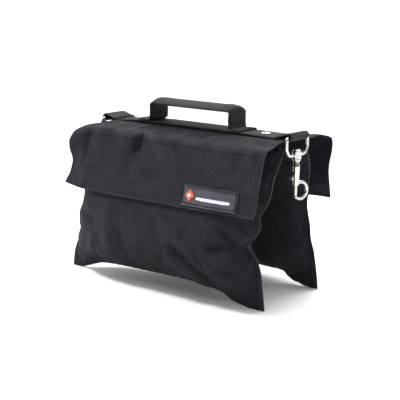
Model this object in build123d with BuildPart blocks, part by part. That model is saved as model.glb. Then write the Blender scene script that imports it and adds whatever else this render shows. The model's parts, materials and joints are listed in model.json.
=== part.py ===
"""A saddle sandbag: two sand pouches that hang from a webbing spine, each closed by a cover flap.

Millimetres, +Z up. The origin is on the floor, under the middle of the whole object. The front pouch is
at -Y and the rear pouch at +Y. X runs along the bag, and the swivel hook hangs at the +X end.
"""

import os
from math import atan2, cos, degrees, hypot, radians, sin, sqrt

from build123d import *

# ---- driving dimensions ----

MID = -5.0  # x of the fabric's middle: the hook stands out at +X, so the fabric sits a little to -X
HALF = 203.0  # half length of the fabric
WEB = 50.0  # width of the webbing
WEB_T = 2.4  # thickness of the webbing
CLOTH = 2.0  # thickness of a doubled fabric layer
GAP = 0.35  # between pieces that move past each other
SEAM_GAP = 0.1  # between pieces that are sewn together

# the webbing's top face: level over the middle, drooping to each end
STRAP_Z = 266.0
LEVEL = 100.0  # half length of the level stretch
LEFT_BAR_X = MID - 179.0  # axis of the loop that holds the ring
RIGHT_BAR_X = MID + 208.0  # axis of the loop that holds the swivel eye
LEFT_DROOP = 5.5
RIGHT_DROOP = 2.0
BAR_LIFT = 1.5  # of a loop's axis above the webbing's top face
HUMP = 14.0  # length over which a loop comes down to the webbing
FOLD = 12.0  # length of webbing folded back and sewn down

# metal wire
WIRE_R = 2.65
WIRE_RUN = 0.08  # radial clearance of a wire in its webbing loop
EYE_IN = 53.0  # inside width of the ring and of the swivel eye

# spine and shoulders
SPINE_Y = 25.5  # half width of the spine
HINGE_Y = 28.0  # seam between the spine and a pouch
HINGE_Z = 261.0
CREST_Y = 75.0  # fold between a shoulder and its flap
CREST_Z = 253.5
NOTCH_X = MID - 170.0  # the shoulders are cut back beyond this, around the ring
NOTCH_Y = 38.0
NOTCH_FLOOR = 225.0

# flap
FLAP_KNEE = (89.0, 205.0)
FLAP_HEM = (106.0, 150.0)

# pouch section, half thickness either side of its seam: height, seam y, outer y, inner y
SECTION = (
    (50.0, 79.0, 109.0, 48.0),
    (80.0, 80.0, 117.0, 40.0),
    (122.0, 80.5, 112.0, 45.0),
    (152.0, 79.5, 101.0, 50.0),
    (178.0, 73.5, 93.0, 48.0),
    (204.0, 62.5, 84.0, 43.0),
    (228.0, 44.0, 72.0, 36.0),
    (245.0, 32.0, 60.0, 30.5),
)
INNER_TOP = (257.5, 31.0, 31.0, 31.0)  # where the inner panel is sewn to the spine
BOTTOM_Y = 80.0
# distance from the pouch's middle, fullness there, height of the bottom seam there
STATIONS = (
    (0.0, 1.0, 22.0),
    (125.0, 1.0, 23.0),
    (160.0, 0.80, 28.0),
    (185.0, 0.42, 36.0),
    (HALF, 0.0, 46.0),
)
BINDING = 2.4  # half width of the bound side seam
BIND_OUT = 1.5
CORNER_W = 24.0  # of the corners that the pouches stand on
CORNER_LINE = ((HALF, 0.0), (HALF - 12, 0.0), (HALF - 38, 5.0), (HALF - 70, 12.0))  # their lower edge

# hook and loop tape, and label
TAPE_T = 1.2
TAPE_HALF = 120.0
TAPE_TOP = 176.0
TAPE_BOTTOM = 156.0
LABEL_X = MID + 115.0
LABEL_Z = 170.0
LABEL_L = 108.0
LABEL_H = 31.0
LABEL_T = 1.8

# sand
FILL_STATIONS = ((125.0, 1.0, 23.0), (148.0, 0.85, 28.0), (166.0, 0.55, 36.0))
FILL_TOP = 200.0
LINER_TOP = 216.0
LINER_T = 0.8
FILL_IN = 5.0  # the liner's distance inside the panels
FLOOR_LIFT = 6.0  # of its bottom, further above the bottom seam

# handle
HANDLE_W = 48.0
LEFT_LEG_X = MID - 76.0
RIGHT_LEG_X = MID + 91.0
GRIP_Z = 300.2  # middle of the grip
LEG_R = 1.5  # half thickness of a leg
LEG_Z = STRAP_Z + LEG_R + 0.4  # fold between a foot and its leg
GRIP_R = 5.4  # half thickness of the grip, which is folded and padded
HANDLE_REACH = 5.0  # from a leg's axis to its foot
GRIP_REACH = 8.6  # from a leg's axis to the grip, so that the grip clears the leg as it folds
FOOT = 25.0  # length of webbing sewn down beside each leg

# rivets
RIVET_X = (MID - 119.0, MID + 149.0)
RIVET_R = 8.0
SHANK_R = 2.5

# ring
RING_LEAN = 25.0  # from upright, outward
RING_DEPTH = 30.0
RING_RADII = [3.6, 3.6, 13.0, 13.0]

# swivel eye
EYE_BOTTOM_Z = 237.5  # middle of the wire under the strap
EYE_KNEE_Z = 248.0
EYE_FOOT = 22.0  # half length of the eye's lower run
EYE_RADII = [3.6, 3.6, 8.0, 8.0, 8.0, 8.0]
BOSS_R = 7.4
BOSS_LOW = 231.0
BOSS_HIGH = 243.5
POST_R = 3.2
RUN = 0.08  # radial clearance of the swivel post and of the bolt

# hook: barrel, curve and sliding bolt
BARREL_R = 5.6
BARREL_TOP = 227.0
BARREL_END = 189.0
HOOK_R = 13.4  # radius of the hook's curve
HOOK_Z = 180.0  # height of the curve's centre
HOOK_OFF = 9.6  # from the barrel's axis to the curve's centre
HOOK_WIRE_R = 2.75
HOOK_FROM = 125.0  # the curve's start on its circle, inside the barrel
HOOK_SWEEP = 258.0
HOOK_TURN = 75.0  # of the hook's plane, from +X towards +Y
SEAT_Z = 171.7  # where the bolt's tip rests on the hook
PIN_R = 2.3
BOLT_R = 3.4
BOLT_TOP = 205.0
CHAMBER_LOW = 196.0
CHAMBER_HIGH = 222.0
BOLT_TRAVEL = 8.0
SLOT_W = 3.4
STEM_R = 1.4
KNOB_Z = 201.0
KNOB_OUT = 7.6
KNOB_R = 3.3
KNOB_T = 3.2
SPRING_R = 2.5
SPRING_WIRE_R = 0.35
SPRING_TURNS = 6

# side factors: the front pouch is at -Y, the rear one at +Y
SIDES = {"front": -1, "rear": 1}

os.makedirs("parts", exist_ok=True)


def save(builder, name):
    """Label a finished piece and write it."""
    builder.part.label = name
    export_step(builder.part, f"parts/{name}.step")


# ---- webbing spine ----


def strap_z(x):
    """Height of the webbing's top face at x."""
    if x < MID - LEVEL:
        return STRAP_Z - LEFT_DROOP * (MID - LEVEL - x) / (MID - LEVEL - LEFT_BAR_X)
    if x > MID + LEVEL:
        return STRAP_Z - RIGHT_DROOP * (x - MID - LEVEL) / (RIGHT_BAR_X - MID - LEVEL)
    return STRAP_Z


def strap_plane(x):
    """A plane on the webbing's top face at x, tilted as the webbing is."""
    slope = atan2(strap_z(x + 1) - strap_z(x - 1), 2)
    along = (cos(slope), 0, sin(slope))
    upward = (-sin(slope), 0, cos(slope))
    return Plane(origin=(x, 0, strap_z(x)), x_dir=along, z_dir=upward)


def band(stops, low, high):
    """Corner points of a strip between two offsets from the webbing's top face, through the given x."""
    above = [(x, strap_z(x) + high) for x in stops]
    below = [(x, strap_z(x) + low) for x in reversed(stops)]
    return above + below


def folded_end(bar_x, inward):
    """Corner points of the webbing that comes down from a loop and is sewn to the strap."""
    z = strap_z(bar_x) + BAR_LIFT
    hump = bar_x + inward * HUMP
    end = bar_x + inward * (HUMP + FOLD)
    outer = WIRE_R + WIRE_RUN + WEB_T
    return [
        (bar_x, z + outer),
        (hump, strap_z(hump) + WEB_T),
        (end, strap_z(end) + WEB_T),
        (end, strap_z(end)),
        (hump, strap_z(hump)),
        (bar_x, z + outer - WEB_T),
    ]


def make_top_strap():
    """The webbing along the top, with a loop at each end and a hole under each rivet."""
    ends = (LEFT_BAR_X, MID - LEVEL, MID + LEVEL, RIGHT_BAR_X)
    bars = ((LEFT_BAR_X, 1), (RIGHT_BAR_X, -1))
    with BuildPart() as strap:
        with BuildSketch(Plane.XZ):
            with BuildLine():
                Polyline(*band(ends, -WEB_T, 0), close=True)
            make_face()
            for bar_x, inward in bars:
                with BuildLine():
                    Polyline(*folded_end(bar_x, inward), close=True)
                make_face()
                with Locations((bar_x, strap_z(bar_x) + BAR_LIFT)):
                    Circle(WIRE_R + WIRE_RUN + WEB_T)
            for bar_x, _ in bars:
                with Locations((bar_x, strap_z(bar_x) + BAR_LIFT)):
                    Circle(WIRE_R + WIRE_RUN, mode=Mode.SUBTRACT)
        extrude(amount=WEB / 2, both=True)
        for x in RIVET_X:
            with BuildSketch(strap_plane(x)):
                Circle(SHANK_R + 0.05)
            extrude(amount=2 * WEB_T, both=True, mode=Mode.SUBTRACT)
    save(strap, "top_strap")


def make_spine_panel():
    """The bag's own cloth under the webbing, between the two pouches."""
    stops = (NOTCH_X, MID - LEVEL, MID + LEVEL, MID + HALF - 9)
    with BuildPart() as spine:
        with BuildSketch(Plane.XZ):
            with BuildLine():
                Polyline(*band(stops, -WEB_T - 0.1 - CLOTH, -WEB_T - 0.1), close=True)
            make_face()
        extrude(amount=SPINE_Y, both=True)
        for x in RIVET_X:
            with BuildSketch(strap_plane(x)):
                Circle(SHANK_R + 0.05)
            extrude(amount=-3 * WEB_T, mode=Mode.SUBTRACT)
    save(spine, "spine_panel")


def make_rivets():
    """Two rivets through webbing and spine, each a domed cap with its shank, and a washer underneath."""
    stack = WEB_T + 0.1 + CLOTH
    with BuildPart() as caps:
        for x in RIVET_X:
            with BuildSketch(strap_plane(x).offset(-stack - 1.4)):
                Circle(SHANK_R)
            extrude(amount=stack + 1.6)
            with BuildSketch(strap_plane(x).offset(0.1)):
                Circle(RIVET_R)
            extrude(amount=1.5)
        rims = caps.edges().filter_by(GeomType.CIRCLE).filter_by(lambda e: e.radius > 7)
        fillet(rims.group_by(Axis.Z)[-1], 0.9)
    save(caps, "rivet_caps")
    with BuildPart() as washers:
        for x in RIVET_X:
            with BuildSketch(strap_plane(x).offset(-stack - 0.2)):
                Circle(RIVET_R - 1.5)
                Circle(SHANK_R + 0.05, mode=Mode.SUBTRACT)
            extrude(amount=-1.0)
    save(washers, "rivet_washers")


# ---- shapes in a bag's cross-section, with outward as +Y before side is applied ----


def limb(start, end, width):
    """A straight strip between two points, added to the sketch that is open."""
    length = hypot(end[0] - start[0], end[1] - start[1])
    angle = degrees(atan2(end[1] - start[1], end[0] - start[0]))
    middle = ((start[0] + end[0]) / 2, (start[1] + end[1]) / 2, 0)
    with Locations(Location(middle, (0, 0, angle))):
        Rectangle(length, width)


def toward(start, end, distance):
    """The point at that distance from start on the way to end."""
    length = hypot(end[0] - start[0], end[1] - start[1])
    share = distance / length
    return (start[0] + share * (end[0] - start[0]), start[1] + share * (end[1] - start[1]))


def beside_flap(side, z, inward):
    """A point level with z on the flap's lower part, moved inward from the flap's middle."""
    share = (FLAP_KNEE[1] - z) / (FLAP_KNEE[1] - FLAP_HEM[1])
    y = FLAP_KNEE[0] + share * (FLAP_HEM[0] - FLAP_KNEE[0])
    drop = hypot(FLAP_HEM[0] - FLAP_KNEE[0], FLAP_KNEE[1] - FLAP_HEM[1])
    across = (FLAP_KNEE[1] - FLAP_HEM[1]) / drop
    down = (FLAP_HEM[0] - FLAP_KNEE[0]) / drop
    return (side * (y - inward * across), z - inward * down)


def notch():
    """Cut the open part back around the ring."""
    with BuildSketch(Plane.YZ.offset(NOTCH_X)) as opening:
        with Locations((0, NOTCH_FLOOR + 50)):
            Rectangle(2 * NOTCH_Y, 100)
    extrude(opening.sketch, amount=-HALF, mode=Mode.SUBTRACT)


# ---- pouches ----


def panel_points(side, fullness, bottom, outward, inner_top):
    """Corner points of one panel's section, from its bottom seam up one face and down the other."""
    step = side if outward else -side
    near = [(side * BOTTOM_Y + step * SEAM_GAP, bottom)]
    far = [(side * BOTTOM_Y + step * (SEAM_GAP + CLOTH), bottom)]
    rows = SECTION if outward else SECTION + (inner_top,)
    for z, seam, outer, inner in rows:
        y = seam + fullness * ((outer if outward else inner) - seam)
        near.append((side * y + step * (SEAM_GAP - CLOTH * fullness), z))
        far.append((side * y + step * (SEAM_GAP + CLOTH * (1 - fullness)), z))
    return near + far[::-1]


def both_ways(stations):
    """The stations from the left end to the right end."""
    return sorted({(sign * x, fullness, bottom) for x, fullness, bottom in stations for sign in (-1, 1)})


def make_panel(name, side, outward):
    """One face of a pouch: the outer panel or the inner one."""
    with BuildPart() as panel:
        for x, fullness, bottom in both_ways(STATIONS):
            with BuildSketch(Plane.YZ.offset(MID + x)):
                with BuildLine():
                    Polyline(*panel_points(side, fullness, bottom, outward, INNER_TOP), close=True)
                make_face()
        loft(ruled=True)
        notch()
    save(panel, name)


def fill_points(side, fullness, bottom, top, inset):
    """Corner points of the sand's section, inset from both panels, up to its top."""
    rows = [row for row in SECTION if row[0] < top - 4]
    above = SECTION[len(rows)]
    below = rows[-1]
    share = (top - below[0]) / (above[0] - below[0])
    rows.append(tuple(b + share * (a - b) for a, b in zip(above, below)))
    outer_face = []
    inner_face = []
    for z, seam, outer, inner in rows:
        outer_face.append((side * (seam + fullness * (outer - seam) - inset), z))
        inner_face.append((side * (seam - fullness * (seam - inner) + inset), z))
    floor = bottom + inset + FLOOR_LIFT
    belly = 9 * fullness
    ends = [(side * (BOTTOM_Y - belly), floor), (side * (BOTTOM_Y + belly), floor)]
    return outer_face + inner_face[::-1] + ends


def lay_fill(side, top, inset, mode=Mode.ADD):
    """Loft the sand's shape in the part that is open."""
    sections = []
    for x, fullness, bottom in both_ways(FILL_STATIONS):
        with BuildSketch(Plane.YZ.offset(MID + x)) as section:
            with BuildLine():
                Polyline(*fill_points(side, fullness, bottom, top, inset), close=True)
            make_face()
        sections.append(section.sketch)
    loft(sections, ruled=True, mode=mode)


def make_sand(end, side):
    """The inner bag that holds the sand, open at its neck, and the sand."""
    with BuildPart() as liner:
        lay_fill(side, LINER_TOP, FILL_IN)
        lay_fill(side, LINER_TOP + 2, FILL_IN + LINER_T, mode=Mode.SUBTRACT)
    save(liner, f"{end}_sand_liner")
    with BuildPart() as sand:
        lay_fill(side, FILL_TOP, FILL_IN + LINER_T + 0.2)
    save(sand, f"{end}_sand_fill")


def make_side_binding(end, side):
    """The bound seam down both ends of a pouch."""
    line = [(BOTTOM_Y, STATIONS[-1][2])] + [(seam, z) for z, seam, _, _ in SECTION[:-1]]
    outer = [(side * (y + BINDING), z) for y, z in line]
    inner = [(side * (y - BINDING), z) for y, z in line]
    with BuildPart() as binding:
        for end_sign in (1, -1):
            with BuildSketch(Plane.YZ.offset(MID + end_sign * HALF)):
                with BuildLine():
                    Polyline(*outer, *inner[::-1], close=True)
                make_face()
            extrude(amount=end_sign * BIND_OUT)
    save(binding, f"{end}_side_binding")


def make_bottom_corners(end, side):
    """The two sewn corners that a pouch stands on."""
    under = [(x, bottom - 2 * SEAM_GAP) for x, _, bottom in STATIONS[1:]]
    with BuildPart() as corners:
        for sign in (-1, 1):
            with BuildSketch(Plane.XZ.offset(-side * (BOTTOM_Y - CORNER_W / 2))):
                with BuildLine():
                    Polyline(*[(MID + sign * x, z) for x, z in (*CORNER_LINE, *under)], close=True)
                make_face()
            extrude(amount=-side * CORNER_W)
    save(corners, f"{end}_bottom_corners")


def make_shoulder(end, side):
    """The cloth from the spine out to the fold of the flap."""
    seam = (side * HINGE_Y, HINGE_Z)
    crest = (side * CREST_Y, CREST_Z)
    with BuildPart() as shoulder:
        with BuildSketch(Plane.YZ.offset(MID)):
            limb(seam, toward(crest, seam, CLOTH / 2 + GAP), CLOTH)
            with Locations(seam):
                Circle(CLOTH / 2)
        extrude(amount=HALF, both=True)
        notch()
    save(shoulder, f"{end}_shoulder")


def make_tape(name, side, inward, top, bottom):
    """A strip of hook or loop tape that lies along the flap."""
    with BuildPart() as tape:
        with BuildSketch(Plane.YZ.offset(MID)):
            limb(beside_flap(side, top, inward), beside_flap(side, bottom, inward), TAPE_T)
        extrude(amount=TAPE_HALF, both=True)
    save(tape, name)


def make_flap(end, side):
    """The cover flap that hangs from its fold over the pouch's mouth."""
    crest = (side * CREST_Y, CREST_Z)
    knee = (side * FLAP_KNEE[0], FLAP_KNEE[1])
    hem = (side * FLAP_HEM[0], FLAP_HEM[1])
    with BuildPart() as flap:
        with BuildSketch(Plane.YZ.offset(MID)):
            limb(crest, knee, CLOTH)
            limb(knee, hem, CLOTH)
            for bend in (crest, knee):
                with Locations(bend):
                    Circle(CLOTH / 2)
        extrude(amount=HALF, both=True)
    save(flap, f"{end}_flap")


def make_label():
    """A moulded rubber label with a raised rim, on the front flap's hem."""
    y, z = beside_flap(SIDES["front"], LABEL_Z, -CLOTH / 2 - 0.05)
    _, up = toward((0, 0), (FLAP_HEM[0] - FLAP_KNEE[0], FLAP_KNEE[1] - FLAP_HEM[1]), 1)
    out = sqrt(1 - up**2)
    face = Plane(origin=(LABEL_X, y, z), x_dir=(1, 0, 0), z_dir=(0, -up, out))
    with BuildPart() as label:
        with BuildSketch(face):
            RectangleRounded(LABEL_L, LABEL_H, 2)
        extrude(amount=LABEL_T)
        with BuildSketch(face.offset(LABEL_T)):
            RectangleRounded(LABEL_L - 5, LABEL_H - 5, 1)
        extrude(amount=-0.6, mode=Mode.SUBTRACT)
    save(label, "label_patch")


# ---- handle ----


def make_handle_feet():
    """The webbing's two ends, sewn down beside the legs."""
    runs = (
        (LEFT_LEG_X - HANDLE_REACH - FOOT, MID - LEVEL, LEFT_LEG_X - HANDLE_REACH),
        (RIGHT_LEG_X + HANDLE_REACH, MID + LEVEL, RIGHT_LEG_X + HANDLE_REACH + FOOT),
    )
    with BuildPart() as feet:
        for run in runs:
            with BuildSketch(Plane.XZ):
                with BuildLine():
                    Polyline(*band(run, SEAM_GAP, SEAM_GAP + WEB_T), close=True)
                make_face()
            extrude(amount=HANDLE_W / 2, both=True)
    save(feet, "handle_feet")


def make_leg(name, x):
    """One upright of the handle, rounded at its two folds."""
    with BuildPart() as leg:
        with BuildSketch(Plane.XZ):
            limb((x, LEG_Z), (x, GRIP_Z), 2 * LEG_R)
            for z, radius in ((LEG_Z, LEG_R), (GRIP_Z, GRIP_R)):
                with Locations((x, z)):
                    Circle(radius)
        extrude(amount=HANDLE_W / 2, both=True)
    save(leg, name)


def make_grip():
    """The part of the handle that the hand holds, in webbing folded around a pad."""
    with BuildPart() as grip:
        with BuildSketch(Plane.XZ):
            limb((LEFT_LEG_X + GRIP_REACH, GRIP_Z), (RIGHT_LEG_X - GRIP_REACH, GRIP_Z), 2 * GRIP_R)
        extrude(amount=HANDLE_W / 2, both=True)
    save(grip, "handle_grip")


# ---- ring and swivel hook ----


def wire_loop(plane, corners, radii):
    """Sweep round wire along a closed outline with rounded corners, in the part that is open."""
    with BuildLine(plane) as path:
        FilletPolyline(*corners, radius=radii, close=True)
    start = path.line.edges()[0]
    with BuildSketch(Plane(origin=start @ 0, z_dir=start % 0)) as section:
        Circle(WIRE_R)
    sweep(section.sketch, path=path.line)


def make_end_ring():
    """The ring in the left loop, leaning out from the bag."""
    across = EYE_IN / 2 + WIRE_R
    lean = radians(RING_LEAN)
    hang = Plane(
        origin=(LEFT_BAR_X, 0, strap_z(LEFT_BAR_X) + BAR_LIFT),
        x_dir=(0, 1, 0),
        z_dir=(cos(lean), 0, -sin(lean)),
    )
    corners = [(-across, 0), (across, 0), (across, -RING_DEPTH), (-across, -RING_DEPTH)]
    with BuildPart() as ring:
        wire_loop(hang, corners, RING_RADII)
    save(ring, "end_ring")


def make_swivel_eye():
    """The eye in the right loop, with the boss that the hook turns in."""
    across = EYE_IN / 2 + WIRE_R
    top = strap_z(RIGHT_BAR_X) + BAR_LIFT
    corners = [(-across, top), (across, top), (across, EYE_KNEE_Z), (EYE_FOOT, EYE_BOTTOM_Z)]
    corners += [(-EYE_FOOT, EYE_BOTTOM_Z), (-across, EYE_KNEE_Z)]
    with BuildPart() as eye:
        wire_loop(Plane.YZ.offset(RIGHT_BAR_X), corners, EYE_RADII)
        with BuildSketch(Plane.XY.offset(BOSS_LOW)):
            with Locations((RIGHT_BAR_X, 0)):
                Circle(BOSS_R)
        extrude(amount=BOSS_HIGH - BOSS_LOW)
        rims = eye.edges().filter_by(GeomType.CIRCLE).filter_by(lambda e: abs(e.radius - BOSS_R) < 0.01)
        chamfer(rims, 0.8)
        with BuildSketch(Plane.XY.offset(BOSS_LOW)):
            with Locations((RIGHT_BAR_X, 0)):
                Circle(POST_R + RUN)
        extrude(amount=BOSS_HIGH - BOSS_LOW, mode=Mode.SUBTRACT)
    save(eye, "swivel_eye")


def hook_plane():
    """The upright plane of the hook's curve: its x is away from the barrel, its y is up."""
    turn = radians(HOOK_TURN)
    outward = (cos(turn), sin(turn), 0)
    facing = (sin(turn), -cos(turn), 0)
    return Plane(origin=(RIGHT_BAR_X, 0, 0), x_dir=outward, z_dir=facing)


def turned(profile):
    """Revolve an outline of radius and height about the barrel's axis, in the part that is open."""
    with BuildSketch(hook_plane()) as outline:
        with BuildLine():
            Polyline(*profile, close=True)
        make_face()
    revolve(outline.sketch, axis=Axis((RIGHT_BAR_X, 0, 0), (0, 0, 1)))


def make_hook_body():
    """Post, barrel and curved hook in one casting, bored for the bolt and slotted for its knob."""
    plane = hook_plane()
    head_low = BOSS_HIGH + GAP
    flange_top = BOSS_LOW - GAP
    outline = [
        (0, BARREL_END),
        (BARREL_R - 0.9, BARREL_END),
        (BARREL_R, BARREL_TOP - 8),
        (BARREL_R - 1.2, BARREL_TOP - 1),
        (BOSS_R - 0.6, flange_top - 1.2),
        (BOSS_R - 0.6, flange_top),
        (POST_R, flange_top),
        (POST_R, head_low),
        (BOSS_R - 1.6, head_low),
        (BOSS_R - 1.6, head_low + 2.2),
        (BOSS_R - 2.6, head_low + 3.2),
        (0, head_low + 3.2),
    ]
    with BuildPart() as hook:
        turned(outline)
        with BuildLine(plane) as curve:
            CenterArc((HOOK_OFF, HOOK_Z), HOOK_R, HOOK_FROM, -HOOK_SWEEP)
        arc = curve.line.edges()[0]
        with BuildSketch(Plane(origin=arc @ 0, z_dir=arc % 0)):
            Circle(HOOK_WIRE_R)
        sweep(path=curve.line)
        with Locations(arc @ 1):
            Sphere(HOOK_WIRE_R)
        with BuildSketch(Plane.XY.offset(SEAT_Z)):
            with Locations((RIGHT_BAR_X, 0)):
                Circle(HOOK_WIRE_R + 0.6)
        extrude(amount=5, mode=Mode.SUBTRACT)
        with BuildSketch(Plane.XY.offset(BARREL_END - 6)):
            with Locations((RIGHT_BAR_X, 0)):
                Circle(PIN_R + RUN)
        extrude(amount=CHAMBER_LOW - BARREL_END + 7, mode=Mode.SUBTRACT)
        with BuildSketch(Plane.XY.offset(CHAMBER_LOW)):
            with Locations((RIGHT_BAR_X, 0)):
                Circle(BOLT_R + RUN)
        extrude(amount=CHAMBER_HIGH - CHAMBER_LOW, mode=Mode.SUBTRACT)
        with BuildSketch(plane.offset(-SLOT_W / 2)):
            with Locations((-BARREL_R / 2 - 1, KNOB_Z + BOLT_TRAVEL / 2)):
                Rectangle(BARREL_R + 2, BOLT_TRAVEL + SLOT_W)
        extrude(amount=SLOT_W, mode=Mode.SUBTRACT)
    save(hook, "hook_body")


def make_hook_bolt():
    """The sliding bolt that closes the hook."""
    outline = [
        (0, SEAT_Z + GAP),
        (PIN_R - 0.4, SEAT_Z + GAP),
        (PIN_R, SEAT_Z + GAP + 0.4),
        (PIN_R, CHAMBER_LOW + 0.2),
        (BOLT_R, CHAMBER_LOW + 0.2),
        (BOLT_R, BOLT_TOP),
        (0, BOLT_TOP),
    ]
    knob_plane = Plane(
        origin=(RIGHT_BAR_X, 0, KNOB_Z),
        x_dir=(0, 0, 1),
        z_dir=(-cos(radians(HOOK_TURN)), -sin(radians(HOOK_TURN)), 0),
    )
    with BuildPart() as bolt:
        turned(outline)
        with BuildSketch(knob_plane.offset(BOLT_R - 2)):
            Circle(STEM_R)
        extrude(amount=KNOB_OUT - BOLT_R + 2)
    save(bolt, "hook_bolt")
    with BuildPart() as knob:
        with BuildSketch(knob_plane.offset(KNOB_OUT)):
            Circle(KNOB_R)
        extrude(amount=KNOB_T)
        fillet(knob.edges().filter_by(GeomType.CIRCLE), 0.9)
    save(knob, "bolt_knob")


def make_bolt_spring():
    """The coil spring above the bolt."""
    low = BOLT_TOP + SPRING_WIRE_R + 0.1
    height = CHAMBER_HIGH - BOLT_TOP - 2 * SPRING_WIRE_R - 0.2
    with BuildPart() as spring:
        with BuildLine(Plane.XY.offset(low)) as coil:
            Helix(pitch=height / SPRING_TURNS, height=height, radius=SPRING_R, center=(RIGHT_BAR_X, 0, 0))
        wire = coil.line.edges()[0]
        with BuildSketch(Plane(origin=wire @ 0, z_dir=wire % 0)):
            Circle(SPRING_WIRE_R)
        sweep(path=coil.line)
    save(spring, "bolt_spring")


make_top_strap()
make_spine_panel()
make_rivets()
make_handle_feet()
make_leg("handle_left_leg", LEFT_LEG_X)
make_leg("handle_right_leg", RIGHT_LEG_X)
make_grip()
for end, side in SIDES.items():
    make_panel(f"{end}_outer_panel", side, outward=True)
    make_panel(f"{end}_inner_panel", side, outward=False)
    make_side_binding(end, side)
    make_bottom_corners(end, side)
    make_shoulder(end, side)
    make_sand(end, side)
    make_flap(end, side)
    hook_face = CLOTH / 2 + SEAM_GAP + TAPE_T / 2
    make_tape(f"{end}_hook_tape", side, hook_face, TAPE_TOP, TAPE_BOTTOM)
    make_tape(f"{end}_loop_tape", side, hook_face + TAPE_T + GAP, TAPE_TOP, TAPE_BOTTOM)
make_label()
make_end_ring()
make_swivel_eye()
make_hook_body()
make_hook_bolt()
make_bolt_spring()
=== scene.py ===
"""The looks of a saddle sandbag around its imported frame: cloth, webbing, label, metal, light and camera.

Geometry is worked out in millimetres in the frame's axes (front is -Y, up is +Z), and add_mesh turns it
into metres. Every cloth surface starts as a grid of points, rows by columns, that becomes a thin shell.
"""

import json
import math

import bpy
import numpy as np
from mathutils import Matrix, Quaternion, Vector
from mathutils.bvhtree import BVHTree


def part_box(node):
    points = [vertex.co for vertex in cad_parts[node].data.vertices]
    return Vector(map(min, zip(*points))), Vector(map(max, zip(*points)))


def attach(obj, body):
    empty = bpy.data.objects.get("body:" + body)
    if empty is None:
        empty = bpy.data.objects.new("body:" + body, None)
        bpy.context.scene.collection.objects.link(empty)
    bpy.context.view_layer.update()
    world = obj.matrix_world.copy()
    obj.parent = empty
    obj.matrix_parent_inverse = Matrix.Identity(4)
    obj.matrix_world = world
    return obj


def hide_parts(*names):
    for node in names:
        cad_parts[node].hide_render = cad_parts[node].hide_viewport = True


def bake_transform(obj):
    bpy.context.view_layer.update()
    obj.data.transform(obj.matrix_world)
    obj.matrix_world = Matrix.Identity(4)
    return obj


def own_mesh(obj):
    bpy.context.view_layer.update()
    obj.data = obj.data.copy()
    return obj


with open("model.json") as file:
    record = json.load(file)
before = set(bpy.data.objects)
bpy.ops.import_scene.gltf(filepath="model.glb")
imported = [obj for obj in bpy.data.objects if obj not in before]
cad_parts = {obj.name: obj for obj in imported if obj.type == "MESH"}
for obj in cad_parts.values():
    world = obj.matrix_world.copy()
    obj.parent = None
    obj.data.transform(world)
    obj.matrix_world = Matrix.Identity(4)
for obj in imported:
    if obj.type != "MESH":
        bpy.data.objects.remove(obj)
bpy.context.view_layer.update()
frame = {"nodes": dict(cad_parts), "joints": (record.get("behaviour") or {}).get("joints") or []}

# ---- what the frame gives ----

MM = 0.001
JOINTS = {joint["name"]: joint for joint in frame["joints"]}


def joint_at(name):
    """A joint's place in millimetres."""
    return np.array(JOINTS[name]["pos_m"]) / MM


def metres(x, y, z):
    """A place in metres, from millimetres."""
    return x * MM, y * MM, z * MM


def box_of(node):
    """A CAD node's lowest and highest corner in millimetres."""
    low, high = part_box(node)
    return np.array(low) / MM, np.array(high) / MM


FLAP_LOW, FLAP_HIGH = box_of("rear_flap")
GRIP_LOW, GRIP_HIGH = box_of("handle_grip")
MID = (FLAP_LOW[0] + FLAP_HIGH[0]) / 2
HALF = (FLAP_HIGH[0] - FLAP_LOW[0]) / 2
CREST = joint_at("rear_flap_lift")
LEFT_BAR = joint_at("end_ring_swing")
RIGHT_BAR = joint_at("swivel_eye_swing")
LEFT_LEG = joint_at("handle_lean")
GRIP_LEFT = joint_at("handle_grip_fold")
GRIP_RIGHT = joint_at("handle_right_fold")
SIDES = {"front": -1, "rear": 1}
METAL_NODES = (
    "end_ring", "swivel_eye", "hook_body", "hook_bolt", "bolt_knob", "rivet_caps", "rivet_washers"
)

# ---- driving dimensions, in millimetres ----

CLOTH_T = 1.3
WEB_T = 2.4
WEB_HALF = 25.0
WEB_STEP = 0.8  # between rows of a webbing mesh
PITCH = 4.6  # of the webbing's crosswise ribs and of its scalloped edge
SCALLOP = 1.1
CROWN = 6.8  # how far the grip's edges curl down
CORD = 2.1  # of the webbing's lengthwise cords
SPRING_TURNS = 6
SPRING_WIRE = 0.35  # radius of the spring's wire
GRID = 5.0  # spacing of the simulated cloth
FINE = GRID / 2  # the same once the cloth is refined
CLOTH_FRAMES = 22
CLOTH_ROUGH = 0.62
SHARP = 40.0  # degrees between two faces from which their edge is shaded sharp
BAR_RADIUS = 2.65  # of the ring's and the eye's straight bar
BAR_LIFT = 1.5  # of a loop's bar above the webbing's top face
STRAP_TOP = LEFT_LEG[2] - 1.9
LEG_LEFT = LEFT_LEG[0]
LEG_RIGHT = GRIP_RIGHT[0]
FOOT_Z = STRAP_TOP + WEB_T / 2 + 0.15  # middle of the feet's webbing
GRIP_MIDDLE = (LEG_LEFT + LEG_RIGHT) / 2
GRIP_TOP = GRIP_LEFT[2] + (GRIP_HIGH[2] - GRIP_LOW[2]) / 2 - 1.4  # middle of the grip's upper layer
LEVEL = 100.0  # half length of the strap's level stretch
FOLD_END = 26.0  # from a bar to the end of the webbing that is folded back
PUFF = 3.0  # how much taller the loops stand than the bars need
STITCH = 4.0  # from one stitch to the next
STRAP_SEWN = 22.3  # of the strap's long stitch rows from its middle line
HANDLE_HALF = 24.0  # half width of the handle's webbing
HANDLE_T = 2.6
GRIP_T = 2.2
FOOT_REACH = 24.0  # from a leg of the handle to the end of its foot

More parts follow.
